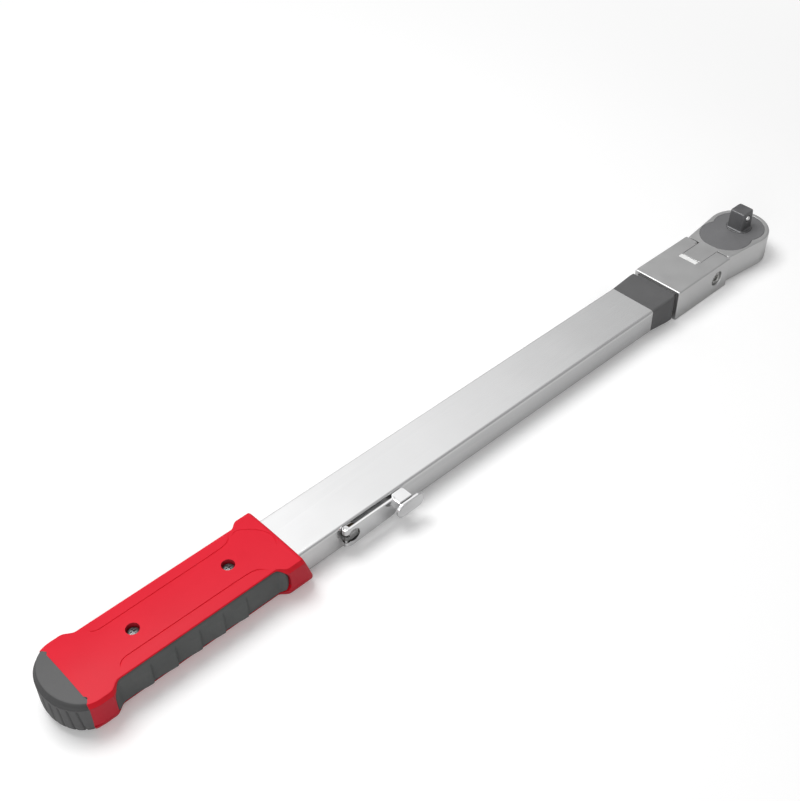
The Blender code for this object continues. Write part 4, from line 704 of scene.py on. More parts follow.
def turned_y(centre, profile, count=96):
    """Surface through (reach, y) pairs about an axis along Y; a reach may differ with the angle."""
    turn = 2 * np.pi * np.arange(count) / count
    rows = []
    for reach, y in profile:
        reach = np.broadcast_to(reach, turn.shape)
        rows.append(np.column_stack([centre[0] + reach * np.cos(turn), np.full(count, y),
                                     centre[1] + reach * np.sin(turn)]))
    return skin(rows)


def box_skin(x, y, z):
    """Sharp box between two values along each axis, to cut with."""
    return skin(box_rows((x[0], y[0], z[0]), (x[1], y[1], z[1]), 0.02 * MM, 1))


def make_yoke():
    """Block and spigot; the slot for the tongue, its relief, the shank's room and the counterbores cut in."""
    top_edge, low_edge = 1.1 * MM, 0.9 * MM
    sections = []
    for x, inset in ([(YOKE_X[0] + a, b) for b, a in soft_edge(0, 1, 0.8 * MM, 5)]
                     + [(YOKE_X[1] + a, b) for b, a in soft_edge(0, -1, 0.15 * MM, 2)[::-1]]):
        upper = bar_loop(YOKE_HALF - inset, REST + inset, DECK - inset, top_edge)
        sections.append(across(upper, x))
    block = skin([pole(sections[0])] + sections + [pole(sections[-1])])
    hole = bar_loop(12.4 * MM, TUBE_MID - 5.2 * MM, TUBE_MID + 5.2 * MM, 0.5 * MM)
    sleeve = bar_loop(SLEEVE_HALF, TUBE_MID - SLEEVE_TALL / 2, TUBE_MID + SLEEVE_TALL / 2, 1.0 * MM)
    spigot = bar_loop(SPIGOT_HALF, TUBE_MID - SPIGOT_TALL / 2, TUBE_MID + SPIGOT_TALL / 2, low_edge)
    neck = pipe([(SPIGOT_X[0], spigot, hole), (SPIGOT_X[1], spigot, hole),
                 (SPIGOT_X[1] + 0.01 * MM, sleeve, hole), (YOKE_X[0] + 5.0 * MM, sleeve, hole)])
    yoke = make_piece("yoke_block", [block], SATIN_NICKEL, "frame", ["yoke_housing"])
    ahead = YOKE_X[1] + MM
    bore_out(yoke, [
        box_skin((-60.3 * MM, ahead), (-8.5 * MM, 8.5 * MM), (DECK - 3.3 * MM, DECK + MM)),
        box_skin((-43.2 * MM, ahead), (8.0 * MM, 9.8 * MM), (DECK - 3.3 * MM, DECK + MM)),
        box_skin((-90.0 * MM, ahead), (-15.4 * MM, 15.4 * MM), (DECK - 21.0 * MM, DECK - 2.8 * MM)),
        box_skin((YOKE_X[0] - MM, -96.0 * MM), (-17.3 * MM, 17.3 * MM),
                 (TUBE_MID - 8.9 * MM, TUBE_MID + 8.9 * MM)),
        box_skin((-97.0 * MM, -89.0 * MM), (-12.4 * MM, 12.4 * MM),
                 (TUBE_MID - 5.2 * MM, TUBE_MID + 5.2 * MM)),
        turned_y(SCREW_AT, [(0, -22 * MM), (COUNTERBORE + 1.9 * MM, -22 * MM),
                            (COUNTERBORE, -YOKE_HALF + 0.4 * MM), (COUNTERBORE, -17 * MM), (0, -17 * MM)]),
        turned_y(SCREW_AT, [(0, 17 * MM), (COUNTERBORE, 17 * MM), (COUNTERBORE, YOKE_HALF - 0.4 * MM),
                            (COUNTERBORE + 1.9 * MM, 22 * MM), (0, 22 * MM)])])
    make_piece("tube_spigot", [neck], SATIN_NICKEL, "frame")
    mark = skin(box_rows((MARK_X[0], MARK_Y[0], DECK - 0.2 * MM), (MARK_X[1], MARK_Y[1], DECK + 0.06 * MM),
                         0.3 * MM, 2))
    make_piece("index_bar", [mark], MARK_PAINT, "frame")


make_yoke()

# Side screws
# Two hex-socket screws clamp the shank from the cheeks, sunk in counterbores. Bright zinc, with a
# turned ring round each socket and a little dirt in it.

SIDE_ZINC = finish("side_zinc", (0.62, 0.62, 0.61), (0.40, 0.40, 0.39), 1.0, (0.16, 0.34), 2400.0, bump=0.2,
                   patch=160.0, depth=0.03)
SOCKET = 3.1 * MM


def make_side_screws():
    """Profile turned about Y; the socket's reach is a hexagon, flat-to-flat over the cosine of the angle."""
    count = 96
    turn = 2 * np.pi * np.arange(count) / count
    hexagon = SOCKET * math.cos(math.pi / 6) / np.cos((turn + np.pi / 6) % (np.pi / 3) - np.pi / 6)
    for side, word in ((-1, "near"), (1, "far")):
        profile = [(0, 17.5), (hexagon * 0.98, 17.5), (hexagon, 17.7), (hexagon, 19.3),
                   (hexagon + 0.25 * MM, 19.45), (3.75, 19.45), (3.95, 19.7), (4.25, 19.7), (4.45, 19.35),
                   (4.75, 19.35), (4.95, 19.25), (5.2, 18.9), (5.2, 17.3), (2.85, 17.3), (2.85, 14.2),
                   (2.6, 14.0), (0, 14.0)]
        pairs = [(reach if isinstance(reach, np.ndarray) else reach * MM, side * y * MM)
                 for reach, y in profile]
        make_piece(f"hex_screw_{word}", [turned_y(SCREW_AT, pairs, count)], SIDE_ZINC, "frame",
                   [f"side_screw_{word}"])


make_side_screws()

# Boot
# A moulded rubber sleeve between tube and yoke, which keeps dirt off the beams. It flares to a
# flange at the front and its neck is pressed into the yoke; fine spark-eroded grain.

TUBE_HALF = 19.05 * MM
TUBE_CORNER = 2.2 * MM
BOOT_X = (-128.8 * MM, -104.5 * MM)
BOOT_RUBBER = finish("boot_rubber", (0.125, 0.125, 0.127), (0.095, 0.095, 0.097), 0.0, (0.55, 0.70), 3200.0,
                     bump=0.35, patch=50.0, depth=0.06, Specular_IOR_Level=0.35)


def make_boot():
    """Round rectangles from the tube's size at the rear to the flange, then the neck, then back inside."""
    def loop(half, low, high, radius):
        return bar_loop(half, low, high, radius, 8)
    flange_half, flange_low, flange_high = 19.7 * MM, DECK - 22.9 * MM, DECK - 0.8 * MM
    core = loop(SLEEVE_HALF + 0.3 * MM, TUBE_MID - 6.9 * MM, TUBE_MID + 6.9 * MM, 1.0 * MM)
    stations = [(BOOT_X[0], loop(TUBE_HALF - 0.25 * MM, TUBE_BOTTOM + 0.25 * MM, TUBE_TOP - 0.25 * MM,
                                 2.0 * MM), core)]
    for share in np.linspace(0.0, 1.0, 12):
        grow = share
        stations.append((BOOT_X[0] + 0.3 * MM + share * 19.0 * MM,
                         loop(TUBE_HALF + grow * (flange_half - TUBE_HALF),
                              TUBE_BOTTOM + grow * (flange_low - TUBE_BOTTOM),
                              TUBE_TOP + grow * (flange_high - TUBE_TOP), TUBE_CORNER - grow * 0.6 * MM),
                         core))
    for inset, back in soft_edge(0.0, -1, 1.1 * MM, 6)[::-1][:-1]:
        stations.append((BOOT_X[1] + back, loop(flange_half - inset, flange_low + inset, flange_high - inset,
                                                1.6 * MM - inset * 0.6), core))
    neck = loop(17.0 * MM, TUBE_MID - 8.6 * MM, TUBE_MID + 8.6 * MM, 0.8 * MM)
    stations += [(BOOT_X[1] + 0.01 * MM, neck, core), (-96.6 * MM, neck, core)]
    make_piece("rubber_boot", [pipe(stations)], BOOT_RUBBER, "frame", ["boot_sleeve"])


make_boot()

# Tube
# Flat oval-cornered steel tube that holds the beams. Drawn, ground along its length and satin
# chromed; bored at the near side for the crank and cut out below for the scale.

TUBE_X = (-597.5 * MM, -129.1 * MM)
TUBE_WALL = 1.8 * MM
CRANK_X = -420.5 * MM
CRANK_Z = TUBE_MID + 1.7 * MM
BUSH_HOLE = 5.7 * MM
WINDOW_X = (-397.0 * MM, -369.0 * MM)
WINDOW_HALF = 7.2 * MM
TUBE_SCREW_XS = (-140.0 * MM, -155.0 * MM)
GRIP_SCREW_XS = (-560.8 * MM, -495.3 * MM)
SATIN_CHROME = finish("satin_chrome", (0.74, 0.74, 0.745), (0.68, 0.68, 0.685), 1.0, (0.22, 0.26), 1800.0,
                      stretch=(0.012, 1, 1), bump=0.05, patch=18.0, depth=0.012, worn=(0.86, 0.86, 0.86))


def make_tube():
    """Outer and inner round rectangles joined at softened ends, then the holes."""
    wall = TUBE_WALL
    inside = bar_loop(TUBE_HALF - wall, TUBE_BOTTOM + wall, TUBE_TOP - wall, 0.8 * MM, 8)
    stations = []
    for x, inset in ((TUBE_X[0], 0.2 * MM), (TUBE_X[0] + 0.2 * MM, 0), (TUBE_X[1] - 0.35 * MM, 0),
                     (TUBE_X[1] - 0.1 * MM, 0.1 * MM), (TUBE_X[1], 0.35 * MM)):
        outside = bar_loop(TUBE_HALF - inset, TUBE_BOTTOM + inset, TUBE_TOP - inset, TUBE_CORNER - inset, 8)
        stations.append((x, outside, inside))
    tube = make_piece("satin_tube", [pipe(stations)], SATIN_CHROME, "frame", ["frame_tube"])
    cutters = [turned_y((CRANK_X, CRANK_Z),
                        [(0, -21 * MM), (BUSH_HOLE, -21 * MM), (BUSH_HOLE, -15 * MM), (0, -15 * MM)])]
    half = WINDOW_HALF + 0.3 * MM
    cutters.append(skin(box_rows((WINDOW_X[0] - 0.3 * MM, -half, TUBE_BOTTOM - MM),
                                 (WINDOW_X[1] + 0.3 * MM, half, TUBE_BOTTOM + 3 * MM), 2.0 * MM, 3)))
    for x in TUBE_SCREW_XS:
        cutters.append(skin(puck(lambda inset, x=x: circle((x, 0), 3.3 * MM - inset, 48), TUBE_MID,
                                 TUBE_BOTTOM - MM, 0.01 * MM, 0.01 * MM, 1)))
    for x in GRIP_SCREW_XS:
        cutters.append(skin(puck(lambda inset, x=x: circle((x, 0), 2.6 * MM - inset, 32), TUBE_TOP + MM,
                                 TUBE_BOTTOM - MM, 0.01 * MM, 0.01 * MM, 1)))
    bore_out(tube, cutters)


make_tube()

# Beams, trip and tube screws
# Load beam and sensing beam of ground spring steel, a blackened block with the trip, and the two
# countersunk screws under the tube. Plain machined shapes, as packed.

OILED_BLACK = finish("oiled_black", (0.10, 0.10, 0.105), (0.06, 0.06, 0.065), 0.6, (0.28, 0.42), 2000.0,
                     bump=0.15, patch=110.0, depth=0.02, worn=(0.25, 0.25, 0.25))
GROUND_PIN = finish("ground_pin", (0.72, 0.72, 0.72), (0.60, 0.60, 0.60), 1.0, (0.14, 0.24), 2400.0,
                    stretch=(1, 1, 0.05), bump=0.08, patch=140.0, depth=0.01)
wear(["main_beam", "sensing_beam", "trip_spring"], SPRING_GREY)
wear(["beam_rivet_1", "beam_rivet_2", "sensing_screw_1", "sensing_screw_2", "fulcrum_block", "tube_screw_1",
      "tube_screw_2"], OILED_BLACK)
wear(["fulcrum_pin", "trip_pin", "trip_lever"], GROUND_PIN)

# Setting gear, rack and scale
# Crank shaft with its pinion, sintered bronze bushes, the rack slider and the white scale strip,
# which is left without figures. Seen through the window and the crank's eye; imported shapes.

BRONZE = finish("sintered_bronze", (0.17, 0.13, 0.085), (0.10, 0.078, 0.052), 0.9, (0.34, 0.52), 2600.0,
                bump=0.4, patch=300.0, depth=0.05)
SHAFT_STEEL = finish("shaft_steel", (0.30, 0.30, 0.30), (0.20, 0.20, 0.20), 0.9, (0.22, 0.36), 2000.0,
                     bump=0.12, patch=150.0, depth=0.02)
STRIP_WHITE = finish("strip_white", (0.86, 0.86, 0.83), (0.80, 0.80, 0.77), 0.0, (0.42, 0.52), 900.0,
                     bump=0.04, patch=120.0, depth=0.01)
wear(["shaft_bush_near", "shaft_bush_far"], BRONZE)
wear(["pinion_shaft"], SHAFT_STEEL)
wear(["rack_slider"], SPRING_GREY)
wear(["scale_strip"], STRIP_WHITE)

# Scale window
# A black moulded bezel pushed into the tube's underside, and the clear lens that snaps in behind
# it. Fine moulded grain on the bezel, polished lens.

MOULDED_BLACK = finish("moulded_black", (0.045, 0.045, 0.047), (0.032, 0.032, 0.034), 0.0, (0.42, 0.56),
                       2800.0, bump=0.3, patch=90.0, depth=0.04)
LENS_CLEAR = finish("lens_clear", (0.95, 0.98, 0.98), (0.92, 0.96, 0.96), 0.0, (0.03, 0.07), 600.0, bump=0.01,
                    patch=100.0, depth=0.004, Transmission_Weight=0.95, IOR=1.49)


def round_corners(corners, radii, inset, steps=6):
    """Convex outline moved inward by inset, each corner turned by an arc.

    The moved corner is the old one plus the sum of its two inward normals over one plus their dot
    product; the arc touches both sides at radius times the tangent of half the turn.
    """
    corners = np.asarray(corners, float)
    run = np.roll(corners, -1, axis=0) - corners
    run /= np.linalg.norm(run, axis=1)[:, None]
    inward = np.column_stack([-run[:, 1], run[:, 0]])
    before, run_before = np.roll(inward, 1, axis=0), np.roll(run, 1, axis=0)
    dot = (before * inward).sum(axis=1)
    moved = corners + inset * (before + inward) / (1 + dot)[:, None]
    radii = np.maximum(np.asarray(radii, float) - inset, 0.04 * MM)
    bend = np.arccos(np.clip(dot, -1, 1))
    start = moved - run_before * (radii * np.tan(bend / 2))[:, None]
    centre = start + before * radii[:, None]
    share = np.linspace(0, 1, steps + 1)
    angle = np.arctan2(-before[:, 1], -before[:, 0])[:, None] + bend[:, None] * share
    points = centre[:, None] + radii[:, None, None] * np.stack([np.cos(angle), np.sin(angle)], axis=-1)
    return points.reshape(-1, 2)


def make_window():
    """Flange, neck and view hole as one wall: out over the flange, up the neck and back down the hole."""
    def loop(grow, corner):
        low = (WINDOW_X[0] - grow, -WINDOW_HALF - grow)
        high = (WINDOW_X[1] + grow, WINDOW_HALF + grow)
        return round_corners([low, (high[0], low[1]), high, (low[0], high[1])], [corner] * 4, 0.0, 8)
    under, seat = TUBE_BOTTOM - 1.0 * MM, TUBE_BOTTOM + 0.2 * MM
    rows = [level(loop(-2.4 * MM, 1.3 * MM), under + 0.15 * MM), level(loop(-2.2 * MM, 1.5 * MM), under)]
    rows += [level(loop(2.6 * MM - inset, 3.0 * MM - inset), z)
             for inset, z in soft_edge(under, 1, 0.5 * MM, 4)]
    rows += [level(loop(2.6 * MM, 3.0 * MM), TUBE_BOTTOM - 0.1 * MM),
             level(loop(0, 1.8 * MM), TUBE_BOTTOM - 0.1 * MM),
             level(loop(0, 1.8 * MM), TUBE_BOTTOM + 1.7 * MM),
             level(loop(-0.85 * MM, 1.0 * MM), TUBE_BOTTOM + 1.7 * MM),
             level(loop(-0.85 * MM, 1.0 * MM), seat), level(loop(-2.4 * MM, 1.3 * MM), seat)]
    make_piece("bezel_frame", [skin(rows + rows[:1])], MOULDED_BLACK, "frame", ["window_bezel"])


make_window()
wear(["window_lens"], LENS_CLEAR)

# Folding crank
# A pressed arm whose rear edge is rolled into two knuckles round the hinge pin, a block cast on its
# front and a flat finger plate on a stud. All polished and chromed, and bright as a mirror.

PIN_X, PIN_Y = CRANK_X - 4.3 * MM, -21.75 * MM
KNUCKLE = 2.3 * MM
ARM_OUTER = PIN_Y - KNUCKLE
ARM_THICK = 1.8 * MM
ARM_TOP = DECK - 2.2 * MM
ARM_LOW = DECK - 17.5 * MM
ARM_LOW_FRONT = DECK - 15.9 * MM
NOTCH = 3.4 * MM
BLOCK_X = (-387.9 * MM, -376.4 * MM)
BLOCK_Z = (DECK - 9.8 * MM, DECK - 2.4 * MM)
PLATE_X = (-390.8 * MM, -368.8 * MM)
PLATE_Z = (DECK - 13.9 * MM, DECK - 3.2 * MM)
PLATE_Y = (-31.3 * MM, -29.2 * MM)
STUD = (-381.6 * MM, DECK - 6.6 * MM)
CRANK_CHROME = finish("crank_chrome", (0.86, 0.86, 0.865), (0.79, 0.79, 0.795), 1.0, (0.07, 0.13), 1500.0,
                      bump=0.05, patch=70.0, depth=0.01)


def make_crank():
    """Arm and knuckles, then the block and the finger plate, each with soft edges on a convex outline."""
    end = BLOCK_X[0] + 2 * MM
    arm_corners = [(PIN_X - 0.6 * MM, ARM_LOW + 0.9 * MM), (PIN_X + 2.2 * MM, ARM_LOW), (end, ARM_LOW_FRONT),
                   (end, ARM_TOP), (PIN_X - 0.6 * MM, ARM_TOP)]
    arm_radii = [0.4 * MM, 4.0 * MM, 3.0 * MM, 0.8 * MM, 0.4 * MM]
    arm = lay_along_y(lambda inset: round_corners(arm_corners, arm_radii, inset), ARM_OUTER + ARM_THICK,
                      ARM_OUTER, 0.3 * MM, 0.45 * MM, 4)
    low = ARM_LOW + 0.9 * MM
    knuckle = [level(circle((PIN_X, PIN_Y), 1.4 * MM, 72), ARM_TOP - 0.3 * MM)]
    knuckle += [level(circle((PIN_X, PIN_Y), KNUCKLE - inset, 72), z)
                for inset, z in soft_edge(ARM_TOP, -1, 0.4 * MM, 3)]
    knuckle += [level(circle((PIN_X, PIN_Y), KNUCKLE - inset, 72), z)
                for inset, z in soft_edge(low, 1, 0.4 * MM, 3)[::-1]]
    knuckle.append(level(circle((PIN_X, PIN_Y), 1.4 * MM, 72), low + 0.3 * MM))
    blade = make_piece("crank_arm", [arm], CRANK_CHROME, "crank", ["crank_lever"])
    rolls = make_piece("crank_knuckles", [skin(knuckle + knuckle[:1])], CRANK_CHROME, "crank")
    notch_z = (CRANK_Z - NOTCH, CRANK_Z + NOTCH)
    notch = box_skin((PIN_X - 4 * MM, PIN_X + 5 * MM), (ARM_OUTER - MM, -15 * MM), notch_z)
    eye = turned_y((CRANK_X, CRANK_Z + 0.4 * MM), [(0, ARM_OUTER - MM), (4.8 * MM, ARM_OUTER - MM),
                                                   (4.8 * MM, ARM_OUTER + ARM_THICK + MM),
                                                   (0, ARM_OUTER + ARM_THICK + MM)])
    bore_out(blade, [notch, eye])
    bore_out(rolls, [notch])
    outside, inside = PLATE_Y[1] + 0.25 * MM, -TUBE_HALF - 0.5 * MM
    rear, front = BLOCK_X
    plan = [(rear, outside), (front, outside), (front, inside - 1.6 * MM), (front - 1.2 * MM, inside),
            (rear + 2.5 * MM, inside), (rear - 0.3 * MM, ARM_OUTER + ARM_THICK),
            (rear - 0.3 * MM, ARM_OUTER - 1.2 * MM)]
    radii = [0.8 * MM, 0.8 * MM, 0.3 * MM, 0.3 * MM, 0.4 * MM, 0.8 * MM, 0.8 * MM]
    block = skin(puck(lambda inset: round_corners(plan, radii, inset), BLOCK_Z[1], BLOCK_Z[0], 0.7 * MM,
                      0.5 * MM))
    make_piece("crank_block", [block], CRANK_CHROME, "crank")
    spine = skin(puck(lambda inset: circle((PIN_X, PIN_Y), 1.2 * MM - inset, 48), ARM_TOP + 0.2 * MM,
                      low - 0.3 * MM, 0.35 * MM, 0.35 * MM))
    make_piece("hinge_pin", [spine], GROUND_PIN, "crank", ["crank_hinge_pin"])
    corners = [(PLATE_X[0], PLATE_Z[0]), (PLATE_X[1], PLATE_Z[0]), (PLATE_X[1], PLATE_Z[1]),
               (PLATE_X[0], PLATE_Z[1])]
    radius = (PLATE_Z[1] - PLATE_Z[0]) / 2 - 0.3 * MM
    edges = [(2.6 * MM, PLATE_Y[0] + 0.22 * MM), (1.7 * MM, PLATE_Y[0] + 0.18 * MM),
             (1.2 * MM, PLATE_Y[0] + 0.03 * MM)]
    edges += [(inset, y) for inset, y in soft_edge(PLATE_Y[0], 1, 0.75 * MM, 5)]
    edges += [(inset, y) for inset, y in soft_edge(PLATE_Y[1], -1, 0.5 * MM, 4)[::-1]]
    rows = [np.insert(round_corners(corners, [radius] * 4, inset, 16), 1, y, axis=1) for inset, y in edges]
    plate = skin([pole(rows[0])] + rows + [pole(rows[-1])])
    stud = turned_y(STUD, [(0, PLATE_Y[1] - 0.5 * MM), (1.5 * MM, PLATE_Y[1] - 0.5 * MM),
                           (1.5 * MM, -25.5 * MM), (0, -25.5 * MM)], 48)
    make_piece("finger_tab", [plate, stud], CRANK_CHROME, "crank", ["finger_plate"])


make_crank()

# Grip shells
# Two halves of red moulded nylon screwed together over the tube. The top is crowned with a slanted
# rim, both ends swell, and fine lines run along its sides and round its front; satin skin.

GRIP_X = (-604.0 * MM, -460.8 * MM)
GRIP_ROUND_X, GRIP_END = -598.0 * MM, -619.0 * MM
WAIST, BUMP = 22.2 * MM, 26.3 * MM
GRIP_TOP = DECK + 4.0 * MM
CROWN = 2.7
RIM_IN, RIM_DROP = 1.1 * MM, 3.4 * MM
PARTING = DECK - 16.6 * MM
PARTING_GAP = 0.15 * MM
LOW_ROUND = 10.5 * MM
LEAN, LEAN_X = 0.30, -470.5 * MM
PAD_X = (-590.5 * MM, -471.0 * MM)
PAD_LOW, PAD_TOP = PARTING - 2.6 * MM, DECK + 2.0 * MM
PAD_SEAT = 20.0 * MM
SCREW_SEAT = DECK - 0.6 * MM
SIDE_GROOVE, FRONT_GROOVE = 0.42 * MM, 0.28 * MM
ROOM = 0.3 * MM
# The two extra colours are painted shade: the slanted rim band and the side walls come out darker than the
# top.
RED_NYLON = finish("red_nylon", (0.76, 0.013, 0.033), (0.71, 0.009, 0.027), 0.0, (0.36, 0.46), 3400.0,
                   bump=0.22, patch=26.0, depth=0.03, painted_light_by_slope=((0.68, 0.004, 0.017), (0.50, 0.018, 0.034)),
                   Specular_IOR_Level=0.16)


def ease(value):
    """Smooth step from 0 to 1: three times the square less twice the cube."""
    value = np.clip(value, 0.0, 1.0)
    return value * value * (3 - 2 * value)


def grip_half(x):
    """Half width: the bump, less the waist between two eases, times the rear's ellipse."""
    waist = ease((x + 592.0 * MM) / (8.0 * MM)) - ease((x + 477.5 * MM) / (7.0 * MM))
    past = np.clip((GRIP_ROUND_X - x) / (GRIP_ROUND_X - GRIP_END), 0.0, 1.0)
    return (BUMP - (BUMP - WAIST) * waist) * np.sqrt(1 - past * past)


def crown(y):
    """Level of the domed top, which falls with the square of the distance from the middle."""
    return GRIP_TOP - CROWN * y * y


def cap_line(y):
    """Where the red shell ends and the cap starts: straight, with a small jog near each side."""
    places = np.array([0.0, 19.3, 20.3, 24.5, 26.3]) * MM
    ends = np.array([-604.1, -604.1, -602.7, -605.0, -605.9]) * MM
    return np.interp(np.abs(y), places, ends)


def tuck(z):
    """How far the low corner's quarter round draws the side in at a height."""
    under = np.clip(REST + LOW_ROUND - z, 0, LOW_ROUND)
    return LOW_ROUND - np.sqrt(LOW_ROUND ** 2 - under ** 2)


def lean(points):
    """Front end carried forward in proportion to the depth below the top."""
    share = ease((points[..., 0] - LEAN_X) / (GRIP_X[1] - LEAN_X))
    points[..., 0] += share * LEAN * (GRIP_TOP - points[..., 2])
    return points


def grip_stations(spacing=1.6):
    """Places along the grip: close where the width changes and at the ends, wider along the waist."""
    turn = np.linspace(0, np.pi / 2, 6)
    runs = [np.linspace(-604.0, -598.0, 7), np.linspace(-597.0, -583.0, 18),
            np.arange(-581.0, -484.0, spacing * 2), np.linspace(-482.5, -462.8, 46),
            -462.4 + 1.6 * np.sin(turn)]
    drops = np.zeros(sum(len(run) for run in runs))
    drops[-len(turn):] = 1.6 * MM * (1 - np.cos(turn))
    return np.concatenate(runs) * MM, drops


def to_cap(x, y):
    """Places behind -600 stretched so that the last of them lies on the cap's line."""
    share = np.clip((-600.0 * MM - x) / (4.0 * MM), 0, 1)
    return x * (1 - share) + share * cap_line(y) + 0 * y


def shell_wall(outer, inner):
    """Closed wall between two sheets of points; at each end both sheets meet on their middle line."""
    loops = np.concatenate([outer, inner[:, ::-1]], axis=1)
    middle = (outer + inner) / 2
    caps = [np.concatenate([middle[i], middle[i, ::-1]])[None] for i in (0, -1)]
    return skin(np.concatenate([caps[0], loops, caps[1]]))


def make_upper_shell():
    """Side, rim band and crowned top of one half width, mirrored, over the tube's room."""
    x, drop = grip_stations()
    low = PARTING + PARTING_GAP
    rise = np.linspace(0, 1, 15)
    band = np.array([0.0, 0.08, 0.35, 0.65, 0.88])
    over = np.concatenate([[1.0, 0.985], np.linspace(0.95, 0.0, 30)])
    width = np.concatenate([np.full(len(rise) + len(band), 1.0), over])
    wide = np.concatenate([width, -width[-2::-1]])
    x = to_cap(x[:, None], BUMP * 0.958 * wide)
    half = grip_half(x) - drop[:, None]
    edge = half - RIM_IN
    rim = crown(edge) - RIM_DROP - drop[:, None]
    count = len(width)
    side_z = low + (rim[:, :len(rise)] - low) * rise
    band_z = rim[:, len(rise):len(rise) + len(band)] + RIM_DROP * band
    band_y = half[:, len(rise):len(rise) + len(band)] - RIM_IN * band
    over_y = edge[:, len(rise) + len(band):count] * over - 0.06 * MM * (over == 1.0)
    over_z = crown(over_y) - drop[:, None] - 0.07 * MM * (over == 1.0)
    y = np.concatenate([half[:, :len(rise)] - tuck(side_z), band_y, over_y], axis=1)
    z = np.concatenate([side_z, band_z, over_z], axis=1)
    y = np.concatenate([y, -y[:, -2::-1]], axis=1)
    z = np.concatenate([z, z[:, -2::-1]], axis=1)
    outer = lean(np.stack([x, y, z], axis=-1))
    room_half, room_top = TUBE_HALF + ROOM, TUBE_TOP + ROOM
    inner_y = np.concatenate([np.full(len(rise) + len(band), room_half), room_half * over])
    inner_z = np.concatenate([np.linspace(low, room_top, len(rise) + len(band)),
                              np.full(len(over), room_top)])
    inner_y = np.concatenate([inner_y, -inner_y[-2::-1]])
    inner_z = np.concatenate([inner_z, inner_z[-2::-1]])
    inner = np.stack([x, np.broadcast_to(inner_y, x.shape), np.broadcast_to(inner_z, x.shape)], axis=-1)
    shell = make_piece("red_shell_upper", [shell_wall(outer, lean(inner))], RED_NYLON, "frame",
                       ["grip_shell_upper"], 40.0)
    cutters = [pad_block(side) for side in (-1, 1)]
    cutters += [groove_cutter(*side_line(side), SIDE_GROOVE) for side in (-1, 1)]
    cutters.append(groove_cutter(*front_line(), FRONT_GROOVE))
    for place in GRIP_SCREW_XS:
        cutters.append(skin(puck(lambda inset, place=place: circle((place, 0), 4.1 * MM - inset, 64),
                                 GRIP_TOP + MM, SCREW_SEAT, 0.01 * MM, 0.3 * MM, 2)))
        cutters.append(skin(puck(lambda inset, place=place: circle((place, 0), 2.1 * MM - inset, 32),
                                 GRIP_TOP, TUBE_TOP, 0.01 * MM, 0.01 * MM, 1)))
    bore_out(shell, cutters)


def pad_corners(gap):
    """Corners and radii of a pad's side outline, anticlockwise in X and Z."""
    rear, front, low, high = PAD_X[0] + gap, PAD_X[1] - gap, PAD_LOW + gap, PAD_TOP - gap
    radii = np.array([4.0, 8.5, 9.0, 8.0]) * MM - gap
    return [(rear, low), (front, low), (front, high), (rear, high)], radii


def pad_block(side):
    """Prism of the pad's outline that cuts its pocket in the side of the shells."""
    corners, radii = pad_corners(0.0)
    loop = round_corners(corners, radii, 0.0, 12)
    rows = [np.insert(loop, 1, side * y, axis=1) for y in (PAD_SEAT, 40 * MM)]
    return skin([pole(rows[0])] + rows + [pole(rows[1])])


def side_line(side):
    """Places of the fine line beside the top, which turns out towards the pad at both ends."""
    places = np.array([(-579.6, 16.4), (-578.4, 14.7), (-576.7, 13.4), (-573.9, 12.6), (-560.0, 12.7),
                       (-500.0, 12.9), (-489.5, 13.2), (-485.6, 14.1), (-483.0, 16.0), (-480.6, 19.2)]) * MM
    along = np.linspace(0, len(places) - 1, 90)
    x = np.interp(along, np.arange(len(places)), places[:, 0])
    return x, side * np.interp(along, np.arange(len(places)), places[:, 1])


def front_line():
    """Arch round the front of the top: a parabola across it, then a cubic back along the far side."""
    y = np.linspace(-8.0, 17.0, 50) * MM
    x = -463.2 * MM - 36.5 * y * y
    share = np.linspace(0, 1, 16)[1:]
    start, stop = np.array([x[-1], y[-1]]), np.array([-481.0, 16.2]) * MM
    leave, arrive = np.array([-8.7, 7.0]) * MM, np.array([-9.0, -3.6]) * MM
    cubic = [np.outer(share * share * (3 - 2 * share), stop - start) + start,
             np.outer(share * (1 - share) ** 2, leave), np.outer(share * share * (share - 1), arrive)]
    back = sum(cubic)
    return np.append(x, back[:, 0]), np.append(y, back[:, 1])


def groove_cutter(x, y, radius):
    """Thin tube along a line of the top, sunk to half its depth and rising out over its ends."""
    share = np.linspace(0, 1, len(x))
    fade = np.minimum(ease(share / 0.17), ease((1 - share) / 0.17))
    centre = np.column_stack([x, y, crown(y) + 0.8 * radius * (1 - fade)])
    ahead = np.gradient(centre, axis=0)
    ahead /= np.linalg.norm(ahead, axis=1)[:, None]
    out = np.cross(ahead, (0.0, 0.0, 1.0))
    up = np.cross(out, ahead)
    turn = np.linspace(0, 2 * np.pi, 10, endpoint=False)
    ring = np.cos(turn)[None, :, None] * out[:, None] + np.sin(turn)[None, :, None] * up[:, None]
    rows = centre[:, None] + radius * ring
    return skin([pole(rows[0])] + list(rows) + [pole(rows[-1])])


